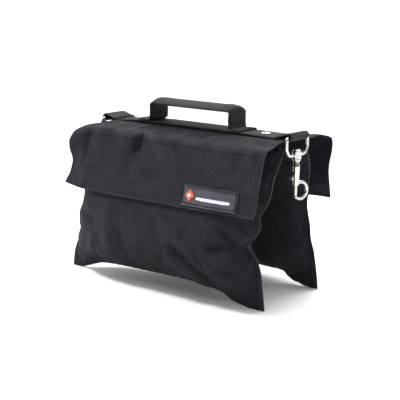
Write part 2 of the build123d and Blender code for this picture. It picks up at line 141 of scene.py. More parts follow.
# section of the flap, from under the strap over the fold to the hem: distance from the middle, height
FLAP_SECTION = (
    (26.5, 261.3),
    (42.0, 259.2),
    (58.0, 256.8),
    (69.0, 255.2),
    (74.0, 253.8),
    (76.8, 250.0),
    (78.6, 243.0),
    (83.2, 225.0),
    (89.0, 205.0),
    (94.9, 186.0),
    (100.6, 167.5),
    (106.0, 150.2),
)
HEM = 35.0  # width of the flap's hem
HEM_SEWN = 6.0  # of the lowest stitch row above the flap's edge
FOLD_SEWN = 10.0  # of the top stitch row below the fold
END_SEWN = 3.0  # of the stitch rows at the flap's ends from its edge
HEM_GAP = 4.9  # from the hem to the pouch under it
FLAP_GAP = 3.2  # from the rest of the flap to the pouch
LABEL_WIDTH = 34.0
LABEL_OVER_HEM = 3.0  # how far the label starts above the hem
LABEL_SEWN = 4.6  # of the label's stitches from its edge
NOTCH_FROM = 150.0  # the cloth beside the ring is cut back from here towards the left end
NOTCH_TO = 174.0
NOTCH_IN = 13.5
# how far the flap's fold droops at its left end: distance from the middle, droop
DROOP = ((-203, 12.5), (-196, 9.0), (-188, 6.5), (-176, 4.5), (-162, 2.0), (-148, 0.6), (-130, 0.0))
# how far the rear flap's right end stands out: distance below the fold, out (+) or in (-)
REAR_EDGE = (
    (-50, 0.0), (-34, 14.0), (-18, 27.0), (0, 34.0), (10, 35.0), (26, 30.0), (40, 20.0), (60, 9.0),
    (76, 7.0), (104, 9.0),
)
# the same for the left end of each flap
LEFT_EDGE = ((-20, 0.0), (0, 5.0), (14, 7.5), (34, 1.0), (54, -11.0), (70, -15.0), (84, -12.0), (104, -5.0))

# ridges (+) and valleys (-) of the hanging flap: x from the middle, half width, height, lean, length
FLAP_FOLDS = (
    (-166, 7, -5.6, 0.03, 78),
    (-140, 12, 2.4, 0.05, 62),
    (-116, 8, -3.6, 0.00, 66),
    (-86, 12, 3.6, 0.12, 62),
    (-50, 9, -8.4, -0.08, 62),
    (-24, 12, 9.2, 0.85, 66),
    (18, 14, -2.6, 0.70, 50),
    (60, 18, 2.0, 0.35, 50),
    (96, 14, -1.8, 0.10, 50),
    (132, 16, 2.0, -0.25, 46),
    (160, 10, -2.2, -0.10, 46),
    (180, 9, 1.8, 0.05, 50),
)

# half section of a pouch at its middle: height, distance from the middle plane
OUTER = (
    (22, 0), (25, 13), (34, 25), (52, 33), (80, 37), (110, 34), (135, 27), (152, 21), (178, 18.5),
    (204, 19.5), (228, 24), (247, 25),
)
INNER = (
    (22, 0), (25, 13), (34, 25), (52, 32), (80, 39), (110, 37), (140, 31), (178, 24), (204, 18),
    (228, 8), (245, 2), (258, 0),
)
# the middle plane: height, distance from the bag's middle
PLANE = (
    (0, 79), (80, 80), (122, 80.5), (152, 79.5), (178, 73.5), (204, 62.5), (228, 44), (245, 32), (258, 30),
)
# the same at a pouch's ends
PLANE_END = (
    (0, 78), (35, 78.5), (80, 75.5), (107, 84), (140, 81), (166, 79), (181, 72), (204, 62), (225, 46),
    (245, 32), (258, 30),
)
# lower edge: distance from the middle, height
BOTTOM = (
    (-203, 0.8), (-190, 1.2), (-166, 8), (-140, 17), (-116, 20), (-60, 22), (0, 23), (45, 24), (92, 22),
    (118, 20), (132, 15), (142, 9), (163, 4), (186, 0.8), (203, 0.8),
)
BOTTOM_REAR = (
    (-203, 0.8), (-190, 1.2), (-166, 8), (-140, 17), (-116, 20), (0, 22), (116, 21), (136, 20),
    (144, 16), (150, 10.5), (168, 5), (190, 0.8), (203, 0.8),
)
# the ends: height, distance from the middle
DENTED = (
    (0, 203), (43, 197.5), (64, 191.5), (76, 186.5), (88, 178.5), (97, 174.3), (102, 175.2),
    (110, 181), (118, 188), (126, 193), (134, 196), (146, 193), (156, 196), (164, 202), (222, 202),
    (258, 198),
)
STRAIGHT = (
    (0, 203), (24, 200), (47, 194), (76, 187), (104, 181), (122, 179.5), (144, 180), (182, 182),
    (208, 186), (236, 190), (258, 193),
)
BOWED = (
    (0, 202), (45, 196), (69, 192.5), (91, 184), (116, 176.5), (147, 174.5), (172, 179), (202, 189),
    (230, 199), (258, 198),
)
LEANING = (
    (0, 203), (24, 200), (47, 192.5), (76, 184.5), (104, 177), (122, 172.5), (144, 171), (182, 174),
    (208, 180), (236, 186), (258, 184),
)
# each pouch's left end, right end and lower edge
SHAPES = {"front": (LEANING, DENTED, BOTTOM), "rear": (STRAIGHT, BOWED, BOTTOM_REAR)}
PLANE_HIGH = 258.0
SEAM_Z = 22.0

# creases of a pouch's outer face: from (x, z) to (x, z), half width, depth (- stands out)
POUCH_CREASES = (
    ((48, 86), (150, 20), 7, 6.5),
    ((30, 74), (124, 12), 9, -4.0),
    ((66, 96), (160, 34), 9, -3.0),
    ((176, 106), (122, 92), 7, 7.0),
    ((184, 118), (112, 134), 9, -4.0),
    ((176, 100), (140, 66), 8, -2.6),
    ((200, 40), (150, 62), 8, 4.6),
    ((-186, 40), (-128, 22), 9, 4.6),
    ((-196, 20), (-140, 62), 8, 4.4),
    ((-180, 74), (-120, 88), 9, 3.0),
    ((-66, 122), (-48, 40), 8, 2.6),
    ((-92, 124), (-84, 44), 10, -1.8),
    ((-124, 120), (-104, 52), 8, 1.8),
    ((-176, 128), (-120, 100), 9, 3.4),
    ((-20, 70), (24, 26), 9, 2.4),
    ((12, 124), (34, 70), 9, 1.4),
    ((86, 130), (70, 92), 9, 2.2),
)


# ---- curves and grids ----


def curve(table, x):
    """A smooth curve through (x, value) pairs, held at its end values."""
    xs, ys = np.array(table, float).T
    x = np.clip(x, xs[0], xs[-1])
    steps = np.diff(ys) / np.diff(xs)
    slopes = np.concatenate([steps[:1], (steps[:-1] + steps[1:]) / 2, steps[-1:]])
    i = np.clip(np.searchsorted(xs, x) - 1, 0, len(xs) - 2)
    width = xs[i + 1] - xs[i]
    t = (x - xs[i]) / width
    low = ys[i] * (1 + 2 * t) * (1 - t) ** 2 + ys[i + 1] * t**2 * (3 - 2 * t)
    return low + width * (slopes[i] * t * (1 - t) ** 2 - slopes[i + 1] * t**2 * (1 - t))


def ease(x, low, high):
    """0 below low, 1 above high, smooth between."""
    t = np.clip((x - low) / (high - low), 0, 1)
    return t * t * (3 - 2 * t)


def ripple(x, y, size, seed):
    """Smooth, wandering waves of about that size, between -1 and 1, the same on each run."""
    random = np.random.default_rng(seed)
    total = np.zeros(np.broadcast(x, y).shape)
    for turn in random.uniform(0, 2 * math.pi, 7):
        scale = 2 * math.pi / (size * random.uniform(0.7, 1.6))
        phase = random.uniform(0, 2 * math.pi)
        total = total + np.sin((x * math.cos(turn) + y * math.sin(turn)) * scale + phase)
    return total / 4.5


def along(points):
    """How far along a line each of its points is."""
    return np.concatenate([[0], np.cumsum(np.linalg.norm(np.diff(points, axis=0), axis=1))])


def spaced(points, step):
    """A line of points, evenly spaced by about that step."""
    points = np.asarray(points, float)
    run = along(points)
    at = np.linspace(0, run[-1], max(2, round(run[-1] / step) + 1))
    return np.stack([np.interp(at, run, points[:, k]) for k in range(points.shape[1])], 1)


def smooth_line(points, step):
    """A rounded line through a few points, evenly spaced."""
    points = np.asarray(points, float)
    run = along(points)
    at = np.linspace(0, run[-1], 12 * len(points))
    fine = [curve(np.stack([run, points[:, k]], 1), at) for k in range(points.shape[1])]
    return spaced(np.stack(fine, 1), step)


def refined(grid):
    """Twice as many lines each way, by the four-point scheme."""
    for axis in (0, 1):
        g = np.moveaxis(grid, axis, 0)
        padded = np.concatenate([2 * g[:1] - g[1:2], g, 2 * g[-1:] - g[-2:-1]])
        between = (9 * (padded[1:-2] + padded[2:-1]) - padded[:-3] - padded[3:]) / 16
        fine = np.empty((2 * len(g) - 1, *g.shape[1:]))
        fine[::2] = g
        fine[1::2] = between
        grid = np.moveaxis(fine, 0, axis)
    return grid


def sampled(grid, row, column):
    """Points of a grid at fractional rows and columns."""
    row = np.clip(row, 0, grid.shape[0] - 1.001)
    column = np.clip(column, 0, grid.shape[1] - 1.001)
    r = row.astype(int)
    c = column.astype(int)
    a = (row - r)[..., None]
    b = (column - c)[..., None]
    above = grid[r, c] * (1 - b) + grid[r, c + 1] * b
    below = grid[r + 1, c] * (1 - b) + grid[r + 1, c + 1] * b
    return above * (1 - a) + below * a


def row_of(values, wanted):
    """Fractional row at which values, one to a row and growing, reach the wanted ones."""
    return np.interp(wanted, values, np.arange(len(values)))


def stacked(*parts):
    """A grid from its coordinates, each spread over all rows and columns."""
    return np.stack(np.broadcast_arrays(*parts), 2)


def normals_of(grid):
    """Unit normals of a grid of points."""
    across = np.cross(np.gradient(grid, axis=0), np.gradient(grid, axis=1))
    return across / np.maximum(np.linalg.norm(across, axis=2, keepdims=True), 1e-9)


def flat_map(grid):
    """Map coordinates of a grid in millimetres: along its columns, and down its rows."""
    rows = np.linalg.norm(np.diff(grid, axis=0), axis=2).mean(1)
    columns = np.linalg.norm(np.diff(grid, axis=1), axis=2).mean(0)
    v = np.concatenate([[0], np.cumsum(rows)])
    u = np.concatenate([[0], np.cumsum(columns)])
    return np.stack(np.meshgrid(u, v), 2)


# ---- meshes ----


def add_mesh(name, points, faces, mapping, material):
    """A smooth-shaded mesh in metres, with its map in millimetres."""
    mesh = bpy.data.meshes.new(name)
    mesh.from_pydata((np.asarray(points).reshape(-1, 3) * MM).tolist(), [], [list(f) for f in faces])
    layer = mesh.uv_layers.new(name="cloth")
    corner = np.zeros(len(mesh.loops), np.int32)
    mesh.loops.foreach_get("vertex_index", corner)
    layer.data.foreach_set("uv", np.asarray(mapping, float).reshape(-1, 2)[corner].astype(np.float32).ravel())
    mesh.shade_smooth()
    mesh.set_sharp_from_angle(angle=math.radians(SHARP))
    if material:
        mesh.materials.append(material)
    piece = bpy.data.objects.new(name, mesh)
    bpy.context.scene.collection.objects.link(piece)
    return piece


def quads(rows, columns, start=0):
    """Faces of a grid whose points are numbered row by row."""
    first = start + (np.arange(rows - 1)[:, None] * columns + np.arange(columns - 1)[None, :]).ravel()
    return np.stack([first, first + columns, first + columns + 1, first + 1], 1)


def shell_parts(grid, out, back, mapping=None):
    """Points, faces and map of the closed shell between two offsets from a grid."""
    rows, columns = grid.shape[:2]
    normals = normals_of(grid)
    top = grid + normals * np.broadcast_to(out, (rows, columns))[..., None]
    low = grid - normals * np.broadcast_to(back, (rows, columns))[..., None]
    mapping = flat_map(grid) if mapping is None else mapping
    count = rows * columns
    edge = np.concatenate(
        [
            np.arange(columns),
            np.arange(1, rows) * columns + columns - 1,
            np.arange(columns - 2, -1, -1) + (rows - 1) * columns,
            np.arange(rows - 2, 0, -1) * columns,
        ]
    )
    following = np.roll(edge, -1)
    rim = np.stack([edge, following, following + count, edge + count], 1)
    faces = np.concatenate([quads(rows, columns), quads(rows, columns, count)[:, ::-1], rim])
    points = np.concatenate([top.reshape(-1, 3), low.reshape(-1, 3)])
    return points, faces, np.concatenate([mapping.reshape(-1, 2)] * 2)


def shell(name, grid, out, back, material):
    """A thin closed piece around a grid."""
    return add_mesh(name, *shell_parts(grid, out, back), material)


def joined(name, parts, material):
    """One piece of several sets of points, faces and map."""
    points, faces, mapping = [], [], []
    count = 0
    for p, f, m in parts:
        points.append(np.asarray(p).reshape(-1, 3))
        faces.extend([[int(i) + count for i in face] for face in f])
        mapping.append(np.asarray(m).reshape(-1, 2))
        count += len(points[-1])
    return add_mesh(name, np.concatenate(points), faces, np.concatenate(mapping), material)


def tube_parts(line, radius, sides=8):
    """Points, faces and map of a closed round tube along a line; radius may differ along it."""
    line = np.asarray(line, float)
    forward = np.gradient(line, axis=0)
    forward /= np.linalg.norm(forward, axis=1, keepdims=True)
    helper = np.where(np.abs(forward[:, 2:3]) > 0.9, [[1.0, 0, 0]], [[0, 0, 1.0]])
    right = np.cross(forward, helper)
    right /= np.linalg.norm(right, axis=1, keepdims=True)
    up = np.cross(right, forward)
    angle = np.linspace(0, 2 * math.pi, sides, endpoint=False)
    radius = np.broadcast_to(radius, len(line))[:, None, None]
    rings = line[:, None] + radius * (
        right[:, None] * np.cos(angle)[None, :, None] + up[:, None] * np.sin(angle)[None, :, None]
    )
    ring = np.arange(len(line) - 1)[:, None] * sides
    first = (ring + np.arange(sides)).ravel()
    following = (ring + np.roll(np.arange(sides), -1)).ravel()
    faces = np.stack([first, first + sides, following + sides, following], 1).tolist()
    faces.append(list(range(sides)))
    faces.append(list(range(len(line) * sides - 1, (len(line) - 1) * sides - 1, -1)))
    run = along(line)
    mapping = np.stack(np.meshgrid(angle * radius.mean(), run), 2)
    return rings.reshape(-1, 3), faces, mapping


def stitch_parts(line, normals, pitch=STITCH, radius=0.42):
    """A row of stitches, each a small arched bar of thread, along a line on a surface."""
    line = np.asarray(line, float)
    run = along(line)
    parts = []
    for start in np.arange(pitch / 2, run[-1] - pitch, pitch):
        at = start + np.array([0, 0.12, 0.5, 0.88, 1.0]) * pitch * 0.66
        lift = np.array([-0.35, 0.1, 0.28, 0.1, -0.35]) * radius / 0.42
        point = np.stack([np.interp(at, run, line[:, k]) for k in range(3)], 1)
        normal = np.stack([np.interp(at, run, normals[:, k]) for k in range(3)], 1)
        size = radius * np.array([0.7, 1, 1, 1, 0.7])
        parts.append(tube_parts(point + normal * lift[:, None], size, sides=5))
    return parts


def stitches_on_top(line):
    """A row of stitches on a surface that faces up."""
    return stitch_parts(line, np.broadcast_to([0, 0, 1.0], line.shape))


def off_surface(grid, rows, columns, side, lift):
    """Points lifted off a grid's side that faces outward, at fractional rows and columns, and that way."""
    normals = sampled(normals_of(grid), rows, columns)
    outward = normals * np.sign(normals[..., 1:2] * side)
    return sampled(grid, rows, columns) + outward * lift, outward


# ---- cloth simulation ----


def settled(name, points, faces, pins, pressure, growth, cap, bending=0.6, gravity=0.0):
    """The cloth's points after it has swollen, creased and settled between its pins, moved by at most cap."""
    scale = 10.0  # the solver is at home with cloth of a few metres
    cloth = add_mesh(name, points * scale, faces, np.zeros((len(points), 2)), None)
    group = cloth.vertex_groups.new(name="pin")
    for weight in np.unique(np.round(pins, 2)):
        group.add(np.nonzero(np.round(pins, 2) == weight)[0].tolist(), float(weight), "REPLACE")
    modifier = cloth.modifiers.new("Cloth", "CLOTH")
    settings = modifier.settings
    settings.quality = 6
    settings.mass = 0.15
    settings.tension_stiffness = 25
    settings.compression_stiffness = 25
    settings.shear_stiffness = 8
    settings.bending_stiffness = bending
    settings.vertex_group_mass = "pin"
    settings.pin_stiffness = 1
    settings.shrink_min = -growth
    settings.use_pressure = pressure != 0
    settings.uniform_pressure_force = pressure
    settings.effector_weights.gravity = gravity
    modifier.collision_settings.use_collision = False
    modifier.point_cache.frame_start = 1
    modifier.point_cache.frame_end = CLOTH_FRAMES
    scene = bpy.context.scene
    for step in range(1, CLOTH_FRAMES + 1):
        scene.frame_set(step)
    shown = cloth.evaluated_get(bpy.context.evaluated_depsgraph_get())
    moved = np.zeros(len(points) * 3)
    shown.data.vertices.foreach_get("co", moved)
    bpy.data.objects.remove(cloth)
    scene.frame_set(1)
    moved = moved.reshape(-1, 3) / (scale * MM)
    change = moved - points
    length = np.linalg.norm(change, axis=1, keepdims=True)
    return points + change * np.minimum(1, cap * np.tanh(length / cap) / np.maximum(length, 1e-9))


# ---- materials ----


class Finish:
    """A material while it is wired: node() adds one node and gives the output asked for."""

    def __init__(self, name, **values):
        self.material = bpy.data.materials.new(name)
        self.material.use_nodes = True
        self.tree = self.material.node_tree
        self.shader = self.tree.nodes["Principled BSDF"]
        for socket, value in values.items():
            self.shader.inputs[socket.replace("_", " ")].default_value = value

    def node(self, kind, inputs=None, output=0, **settings):
        node = self.tree.nodes.new(kind)
        for key, value in settings.items():
            setattr(node, key, value)
        for key, value in (inputs or {}).items():
            if isinstance(value, bpy.types.NodeSocket):
                self.tree.links.new(value, node.inputs[key])
            else:
                node.inputs[key].default_value = value
        return node.outputs[output]

    def link(self, value, socket):
        self.tree.links.new(value, self.shader.inputs[socket])

    def math(self, operation, a, b=0.0):
        return self.node("ShaderNodeMath", {0: a, 1: b}, operation=operation)

    def add(self, a, b):
        return self.math("ADD", a, b)

    def times(self, a, b):
        return self.math("MULTIPLY", a, b)

    def sine(self, a):
        return self.math("SINE", a)

    def cloth_map(self):
        return self.node("ShaderNodeUVMap", uv_map="cloth")

    def place(self):
        return self.node("ShaderNodeTexCoord", output=3)

    def worn_edges(self, low, high, most):
        sharpness = self.node("ShaderNodeNewGeometry", output=7)
        return self.times(self.ranged(sharpness, low, high), most)

    def noise(self, vector, scale, detail=3.0, roughness=0.5):
        inputs = {"Vector": vector, "Scale": scale, "Detail": detail, "Roughness": roughness}
        return self.node("ShaderNodeTexNoise", inputs)

    def ranged(self, value, low, high, to_low=0.0, to_high=1.0):
        return self.node("ShaderNodeMapRange", {0: value, 1: low, 2: high, 3: to_low, 4: to_high})

    def mixed(self, share, a, b):
        return self.node("ShaderNodeMix", {0: share, 6: a, 7: b}, output=2, data_type="RGBA")

    def stretched(self, vector, scale):
        return self.node("ShaderNodeVectorMath", {0: vector, 1: scale}, operation="MULTIPLY")

    def bump(self, height, distance, strength=1.0, under=None):
        inputs = {"Height": height, "Distance": distance, "Strength": strength}
        if under is not None:
            inputs["Normal"] = under
        return self.node("ShaderNodeBump", inputs)


def linear(red, green, blue):
    """A shader colour from 0-255 screen values."""
    scaled = [v / 255 for v in (red, green, blue)]
    return (*[v / 12.92 if v <= 0.04045 else ((v + 0.055) / 1.055) ** 2.4 for v in scaled], 1.0)


def threads(finish, mapping, pitch):
    """Height and shade of a plain weave: two sets of threads that pass over and under each other."""
    split = finish.node("ShaderNodeSeparateXYZ", {0: mapping})
    across = finish.times(split, 2 * math.pi / pitch)
    down = finish.times(split.node.outputs[1], 2 * math.pi / pitch)
    cross = finish.times(finish.sine(across), finish.sine(down))
    ribs = finish.add(finish.sine(finish.add(across, down)), cross)
    slub = finish.noise(finish.stretched(mapping, (0.06, 1.1, 1.0)), 1.0, 2.0)
    streak = finish.noise(finish.stretched(mapping, (1.1, 0.06, 1.0)), 1.0, 2.0)
    uneven = finish.add(slub, streak)
    return ribs, uneven


def woven(name, dark, light, sheen, pitch=0.9, wear=0.4):
    """Coated polyester cloth: a fine weave, uneven threads, faint wear and dust on what stands out."""
    finish = Finish(
        name, Roughness=CLOTH_ROUGH, Sheen_Weight=sheen, Sheen_Roughness=0.45, Specular_IOR_Level=0.16
    )
    finish.shader.inputs["Sheen Tint"].default_value = linear(176, 166, 186)
    mapping = finish.cloth_map()
    ribs, uneven = threads(finish, mapping, pitch)
    place = finish.place()
    cloudy = finish.noise(place, 38.0, 4.0, 0.6)
    grain = finish.noise(mapping, 0.38, 2.0, 0.7)
    shade = finish.add(finish.times(uneven, 0.42), finish.times(grain, 1.9))
    shade = finish.add(shade, finish.times(ribs, 0.1))
    shade = finish.add(shade, finish.times(cloudy, 0.7))
    colour = finish.mixed(finish.ranged(shade, 1.42, 2.02), dark, light)
    worn = finish.mixed(finish.worn_edges(0.5, 0.62, wear), colour, linear(84, 80, 88))
    finish.link(worn, "Base Color")
    finish.link(finish.ranged(grain, 0.3, 0.7, CLOTH_ROUGH - 0.08, CLOTH_ROUGH + 0.1), "Roughness")
    relief = finish.add(finish.add(ribs, uneven), finish.times(grain, 3.0))
    fine = finish.bump(relief, 0.0005, 0.9)
    rumple = finish.bump(finish.noise(place, 55.0, 3.0, 0.55), 0.004, 0.25, under=fine)
    finish.link(rumple, "Normal")
    return finish.material


def webbing(name, dark, light):
    """Heavy webbing: crosswise ribs, warp threads along it, fuzz, worn high spots, and painted shade in the
    grooves between the ribs.
    """
    finish = Finish(name, Roughness=0.6, Sheen_Weight=0.03, Sheen_Roughness=0.5, Specular_IOR_Level=0.15)
    mapping = finish.cloth_map()
    split = finish.node("ShaderNodeSeparateXYZ", {0: mapping})
    across = finish.times(split, 2 * math.pi / CORD)
    down = finish.times(split.node.outputs[1], 2 * math.pi / PITCH)
    cords = finish.sine(across)
    chevron = finish.sine(finish.add(down, finish.times(cords, 1.3)))
    fuzz = finish.noise(finish.stretched(mapping, (1.6, 0.5, 1.0)), 1.0, 3.0, 0.7)
    place = finish.place()
    cloudy = finish.noise(place, 60.0, 3.0)
    height = finish.add(finish.times(chevron, 0.6), finish.times(cords, 0.4))
    # The rib height also darkens the colour in the grooves and lightens it on the ribs: painted shade and
    # highlight of the ribs. Fuzz and cloudy are tone that differs at random.
    shade = finish.add(finish.times(height, 0.6), finish.add(fuzz, cloudy))
    colour = finish.mixed(finish.ranged(shade, 0.7, 1.45), dark, light)
    worn = finish.mixed(finish.worn_edges(0.51, 0.6, 0.4), colour, linear(86, 83, 88))
    finish.link(worn, "Base Color")
    finish.link(finish.ranged(fuzz, 0.3, 0.7, 0.52, 0.72), "Roughness")
    finish.link(finish.bump(finish.add(height, fuzz), 0.0006, 0.9), "Normal")
    return finish.material


def thread(name, dark, light):
    """Sewing thread: twisted, a little shinier than the cloth."""
    finish = Finish(name, Roughness=0.5, Sheen_Weight=0.05, Specular_IOR_Level=0.2)
    mapping = finish.cloth_map()
    split = finish.node("ShaderNodeSeparateXYZ", {0: mapping})
    twist = finish.add(finish.times(split, 9.0), finish.times(split.node.outputs[1], 9.0))
    wave = finish.sine(twist)
    fluff = finish.noise(mapping, 3.0)
    shade = finish.add(finish.times(wave, 0.25), fluff)
    finish.link(finish.mixed(finish.ranged(shade, 0.2, 0.9), dark, light), "Base Color")
    finish.link(finish.bump(wave, 0.00008), "Normal")
    return finish.material


def rubber(name, dark, light):
    """Moulded rubber: fine matt grain with a faint bloom."""
    finish = Finish(name, Roughness=0.5, Specular_IOR_Level=0.4)
    place = finish.place()
    bloom = finish.noise(place, 120.0, 5.0, 0.65)
    grain = finish.noise(place, 2600.0, 2.0)
    finish.link(finish.mixed(finish.ranged(bloom, 0.3, 0.72), dark, light), "Base Color")
    finish.link(finish.ranged(bloom, 0.3, 0.7, 0.42, 0.6), "Roughness")
    finish.link(finish.bump(grain, 0.00006, 0.7), "Normal")
    return finish.material


def metal(name, colour, roughness):
    """Plated metal: soft casting waves, fine scratches and duller patches."""
    finish = Finish(name, Metallic=1.0, Roughness=roughness)
    place = finish.place()
    patches = finish.noise(place, 160.0, 4.0, 0.6)
    scratch = finish.noise(finish.stretched(place, (900.0, 900.0, 5200.0)), 1.0, 2.0)
    dull = tuple(0.72 * v for v in colour[:3]) + (1.0,)
    finish.link(finish.mixed(finish.ranged(patches, 0.42, 0.8), colour, dull), "Base Color")
    finish.link(finish.ranged(patches, 0.3, 0.75, roughness - 0.06, roughness + 0.12), "Roughness")
    waves = finish.bump(finish.noise(place, 190.0, 2.0), 0.0006, 0.35)
    finish.link(finish.bump(scratch, 0.00003, 0.5, under=waves), "Normal")
    return finish.material


def tape(name, hooks):
    """Hook or loop tape: stiff hooks in rows, or matted loops."""
    finish = Finish(name, Roughness=0.7 if hooks else 0.9, Sheen_Weight=0.1 if hooks else 0.6)
    mapping = finish.cloth_map()
    mat = finish.node("ShaderNodeTexVoronoi", {"Vector": mapping, "Scale": 0.9 if hooks else 1.8})
    fuzz = finish.noise(mapping, 0.8, 4.0, 0.8)
    shade = finish.add(mat, finish.times(fuzz, 0.6))
    colour = finish.mixed(finish.ranged(shade, 0.2, 1.0), linear(20, 20, 22), linear(58, 56, 60))
    finish.link(colour, "Base Color")
    finish.link(finish.bump(shade, 0.0006 if hooks else 0.0003), "Normal")
    return finish.material


def film():
    """The inner bag: grey woven plastic film with a dull shine and creases."""
    finish = Finish("liner_film", Roughness=0.38, Specular_IOR_Level=0.5)
    mapping = finish.cloth_map()
    ribs, uneven = threads(finish, mapping, 2.4)
    creases = finish.noise(mapping, 0.09, 5.0, 0.65)
    shade = finish.add(creases, finish.times(ribs, 0.05))
    colour = finish.mixed(finish.ranged(shade, 0.3, 0.75), linear(120, 122, 124), linear(196, 196, 190))
    finish.link(colour, "Base Color")
    finish.link(finish.ranged(uneven, 0.7, 1.3, 0.32, 0.5), "Roughness")
    small = finish.bump(ribs, 0.0001, 0.6)
    finish.link(finish.bump(creases, 0.006, 0.6, under=small), "Normal")
    return finish.material


def grains():
    """Dry sand: pale and dark grains, heaped a little unevenly."""
    finish = Finish("sand", Roughness=0.95, Specular_IOR_Level=0.2)
    place = finish.place()
    grain = finish.node("ShaderNodeTexVoronoi", {"Vector": place, "Scale": 1300.0}, output=1)
    split = finish.node("ShaderNodeSeparateXYZ", {0: grain})
    size = finish.node("ShaderNodeTexVoronoi", {"Vector": place, "Scale": 1300.0})
    damp = finish.noise(place, 60.0, 4.0)
    colour = finish.mixed(split, linear(150, 126, 92), linear(226, 206, 168))
    finish.link(finish.mixed(finish.ranged(damp, 0.45, 0.75), colour, linear(128, 106, 78)), "Base Color")
    finish.link(finish.bump(size, 0.0006), "Normal")
    return finish.material


SHELL = woven("shell_fabric", linear(7, 6, 9), linear(56, 51, 63), sheen=0.06)
INSIDE = woven("shell_fabric_inside", linear(15, 14, 17), linear(36, 34, 39), sheen=0.04, wear=0.1)
BINDING = woven("binding", linear(24, 22, 26), linear(62, 58, 66), pitch=1.3, sheen=0.1)
WEBBING = webbing("webbing", linear(10, 8, 12), linear(50, 45, 54))
THREAD = thread("sewing_thread", linear(5, 5, 6), linear(26, 24, 29))
BLACK_THREAD = thread("label_thread", linear(6, 6, 7), linear(22, 21, 24))
RUBBER = rubber("label_rubber", linear(26, 26, 31), linear(42, 42, 49))
PLATE = rubber("label_plate_rubber", linear(62, 61, 70), linear(80, 79, 90))
ORANGE = rubber("label_accent", linear(196, 84, 44), linear(226, 116, 72))
PALE = rubber("label_pale", linear(205, 205, 208), linear(236, 236, 238))
NICKEL = metal("nickel", (0.60, 0.59, 0.57, 1.0), 0.13)
STEEL = metal("spring_steel", (0.5, 0.49, 0.48, 1.0), 0.28)
HOOKS = tape("hook_tape", hooks=True)
LOOPS = tape("loop_tape", hooks=False)
FILM = film()
SAND = grains()


# ---- pouches ----


def section_line(table):
    """Heights and bulges along a half section, evenly spaced along it."""
    line = smooth_line([(bulge, height) for height, bulge in table], GRID)
    return line[:, 1], line[:, 0]


def creased(x, z):
    """Depth of all the creases at places on a pouch's outer face."""
    depth = np.zeros(np.broadcast(x, z).shape)
    for start, end, width, deep in POUCH_CREASES:
        way = np.array(end, float) - start
        share = ((x - start[0]) * way[0] + (z - start[1]) * way[1]) / (way @ way)
        off = (x - start[0]) * way[1] - (z - start[1]) * way[0]
        across = np.abs(off) / np.linalg.norm(way)
        fade = ease(share, -0.15, 0.2) * ease(-share, -1.2, -0.8)
        depth = depth + deep * np.exp(-((across / width) ** 2)) * fade
    return depth


def pouch_face(end, side, table, outward):
    """One face of a pouch: rows from the bottom seam up, columns from one end to the other."""
    left_end, right_end, lower_edge = SHAPES[end]
    height, bulge = section_line(table)
    height = height[:, None]
    s = np.linspace(-1, 1, round(2 * HALF / GRID) + 1)[None, :]
    x = s * HALF
    foot = curve(lower_edge, x)
    z = foot + (height - SEAM_Z) * (PLANE_HIGH - foot) / (PLANE_HIGH - SEAM_Z)
    reach = np.where(s > 0, curve(right_end, z), curve(left_end, z))
    x = s * (HALF - (HALF - reach) * np.abs(s) ** 5)
    full = (1 - np.abs(s) ** 6) ** 0.8
    toe = ease(np.abs(s) * HALF, 100, 165)
    ear = 0.22 + 0.78 * ease(z - foot - 0.42 * np.maximum(np.abs(s) * HALF - 118, 0), -14, 34)
    out = bulge[:, None] * full * (1 - toe * (1 - ear))
    if outward:
        fade = full * ease(bulge[:, None], 2, 12) * ease(-z, -185, -150)
        out = out - creased(-side * x, z) * fade
    out = out + 0.9 * ripple(x, z, 60, 3 + side + 5 * outward) * full * ease(bulge[:, None], 3, 14)
    plane = curve(PLANE, z) + (curve(PLANE_END, z) - curve(PLANE, z)) * np.abs(s) ** 6
    y = plane + (out if outward else -out)
    return stacked(MID + x, side * y, z)


def weld(outer, inner):
    """One set of points for a pouch's two faces, which share their end seams and their bottom seam."""
    rows_out, columns = outer.shape[:2]
    rows_in = inner.shape[0]
    number_out = np.arange(rows_out * columns).reshape(rows_out, columns)
    number_in = rows_out * columns + np.arange(rows_in * columns).reshape(rows_in, columns)
    number_in[0] = number_out[0]
    common = min(rows_out, rows_in)
    number_in[:common, 0] = number_out[:common, 0]
    number_in[:common, -1] = number_out[:common, -1]
    return number_out, number_in


def pouch_grids(end, side):
    """Both faces of a pouch after the cloth has settled."""
    outer = pouch_face(end, side, OUTER, outward=True)
    inner = pouch_face(end, side, INNER, outward=False)
    common = min(len(outer), len(inner))
    for column in (0, -1):
        line = spaced(inner[:, column], 0.5)
        line = line[line[:, 2] <= outer[-1, column, 2]]
        shared = np.linspace(0, len(line) - 1, common).astype(int)
        outer[:common, column] = line[shared]
        inner[:common, column] = line[shared]
    number_out, number_in = weld(outer, inner)
    points = np.concatenate([outer.reshape(-1, 3), inner.reshape(-1, 3)])
    faces = []
    for number, turn in ((number_out, side > 0), (number_in, side < 0)):
        corners = [number[:-1, :-1], number[1:, :-1], number[1:, 1:], number[:-1, 1:]]
        corners = np.stack(corners, 2).reshape(-1, 4)
        faces.extend((corners if turn else corners[:, ::-1]).tolist())
    used = np.unique(np.array(faces))
    pins = np.zeros(len(points))
    for number in (number_out, number_in):
        for line in (number[0], number[:, 0], number[:, -1], number[-1], number[-2]):
            pins[line] = 1
    compact = np.zeros(len(points), int)
    compact[used] = np.arange(len(used))
    points[used] = settled(
        f"{end}_pouch_run", points[used], compact[np.array(faces)], pins[used],
        pressure=1.2, growth=0.022, cap=4.5,
    )
    return points[number_out], points[number_in]


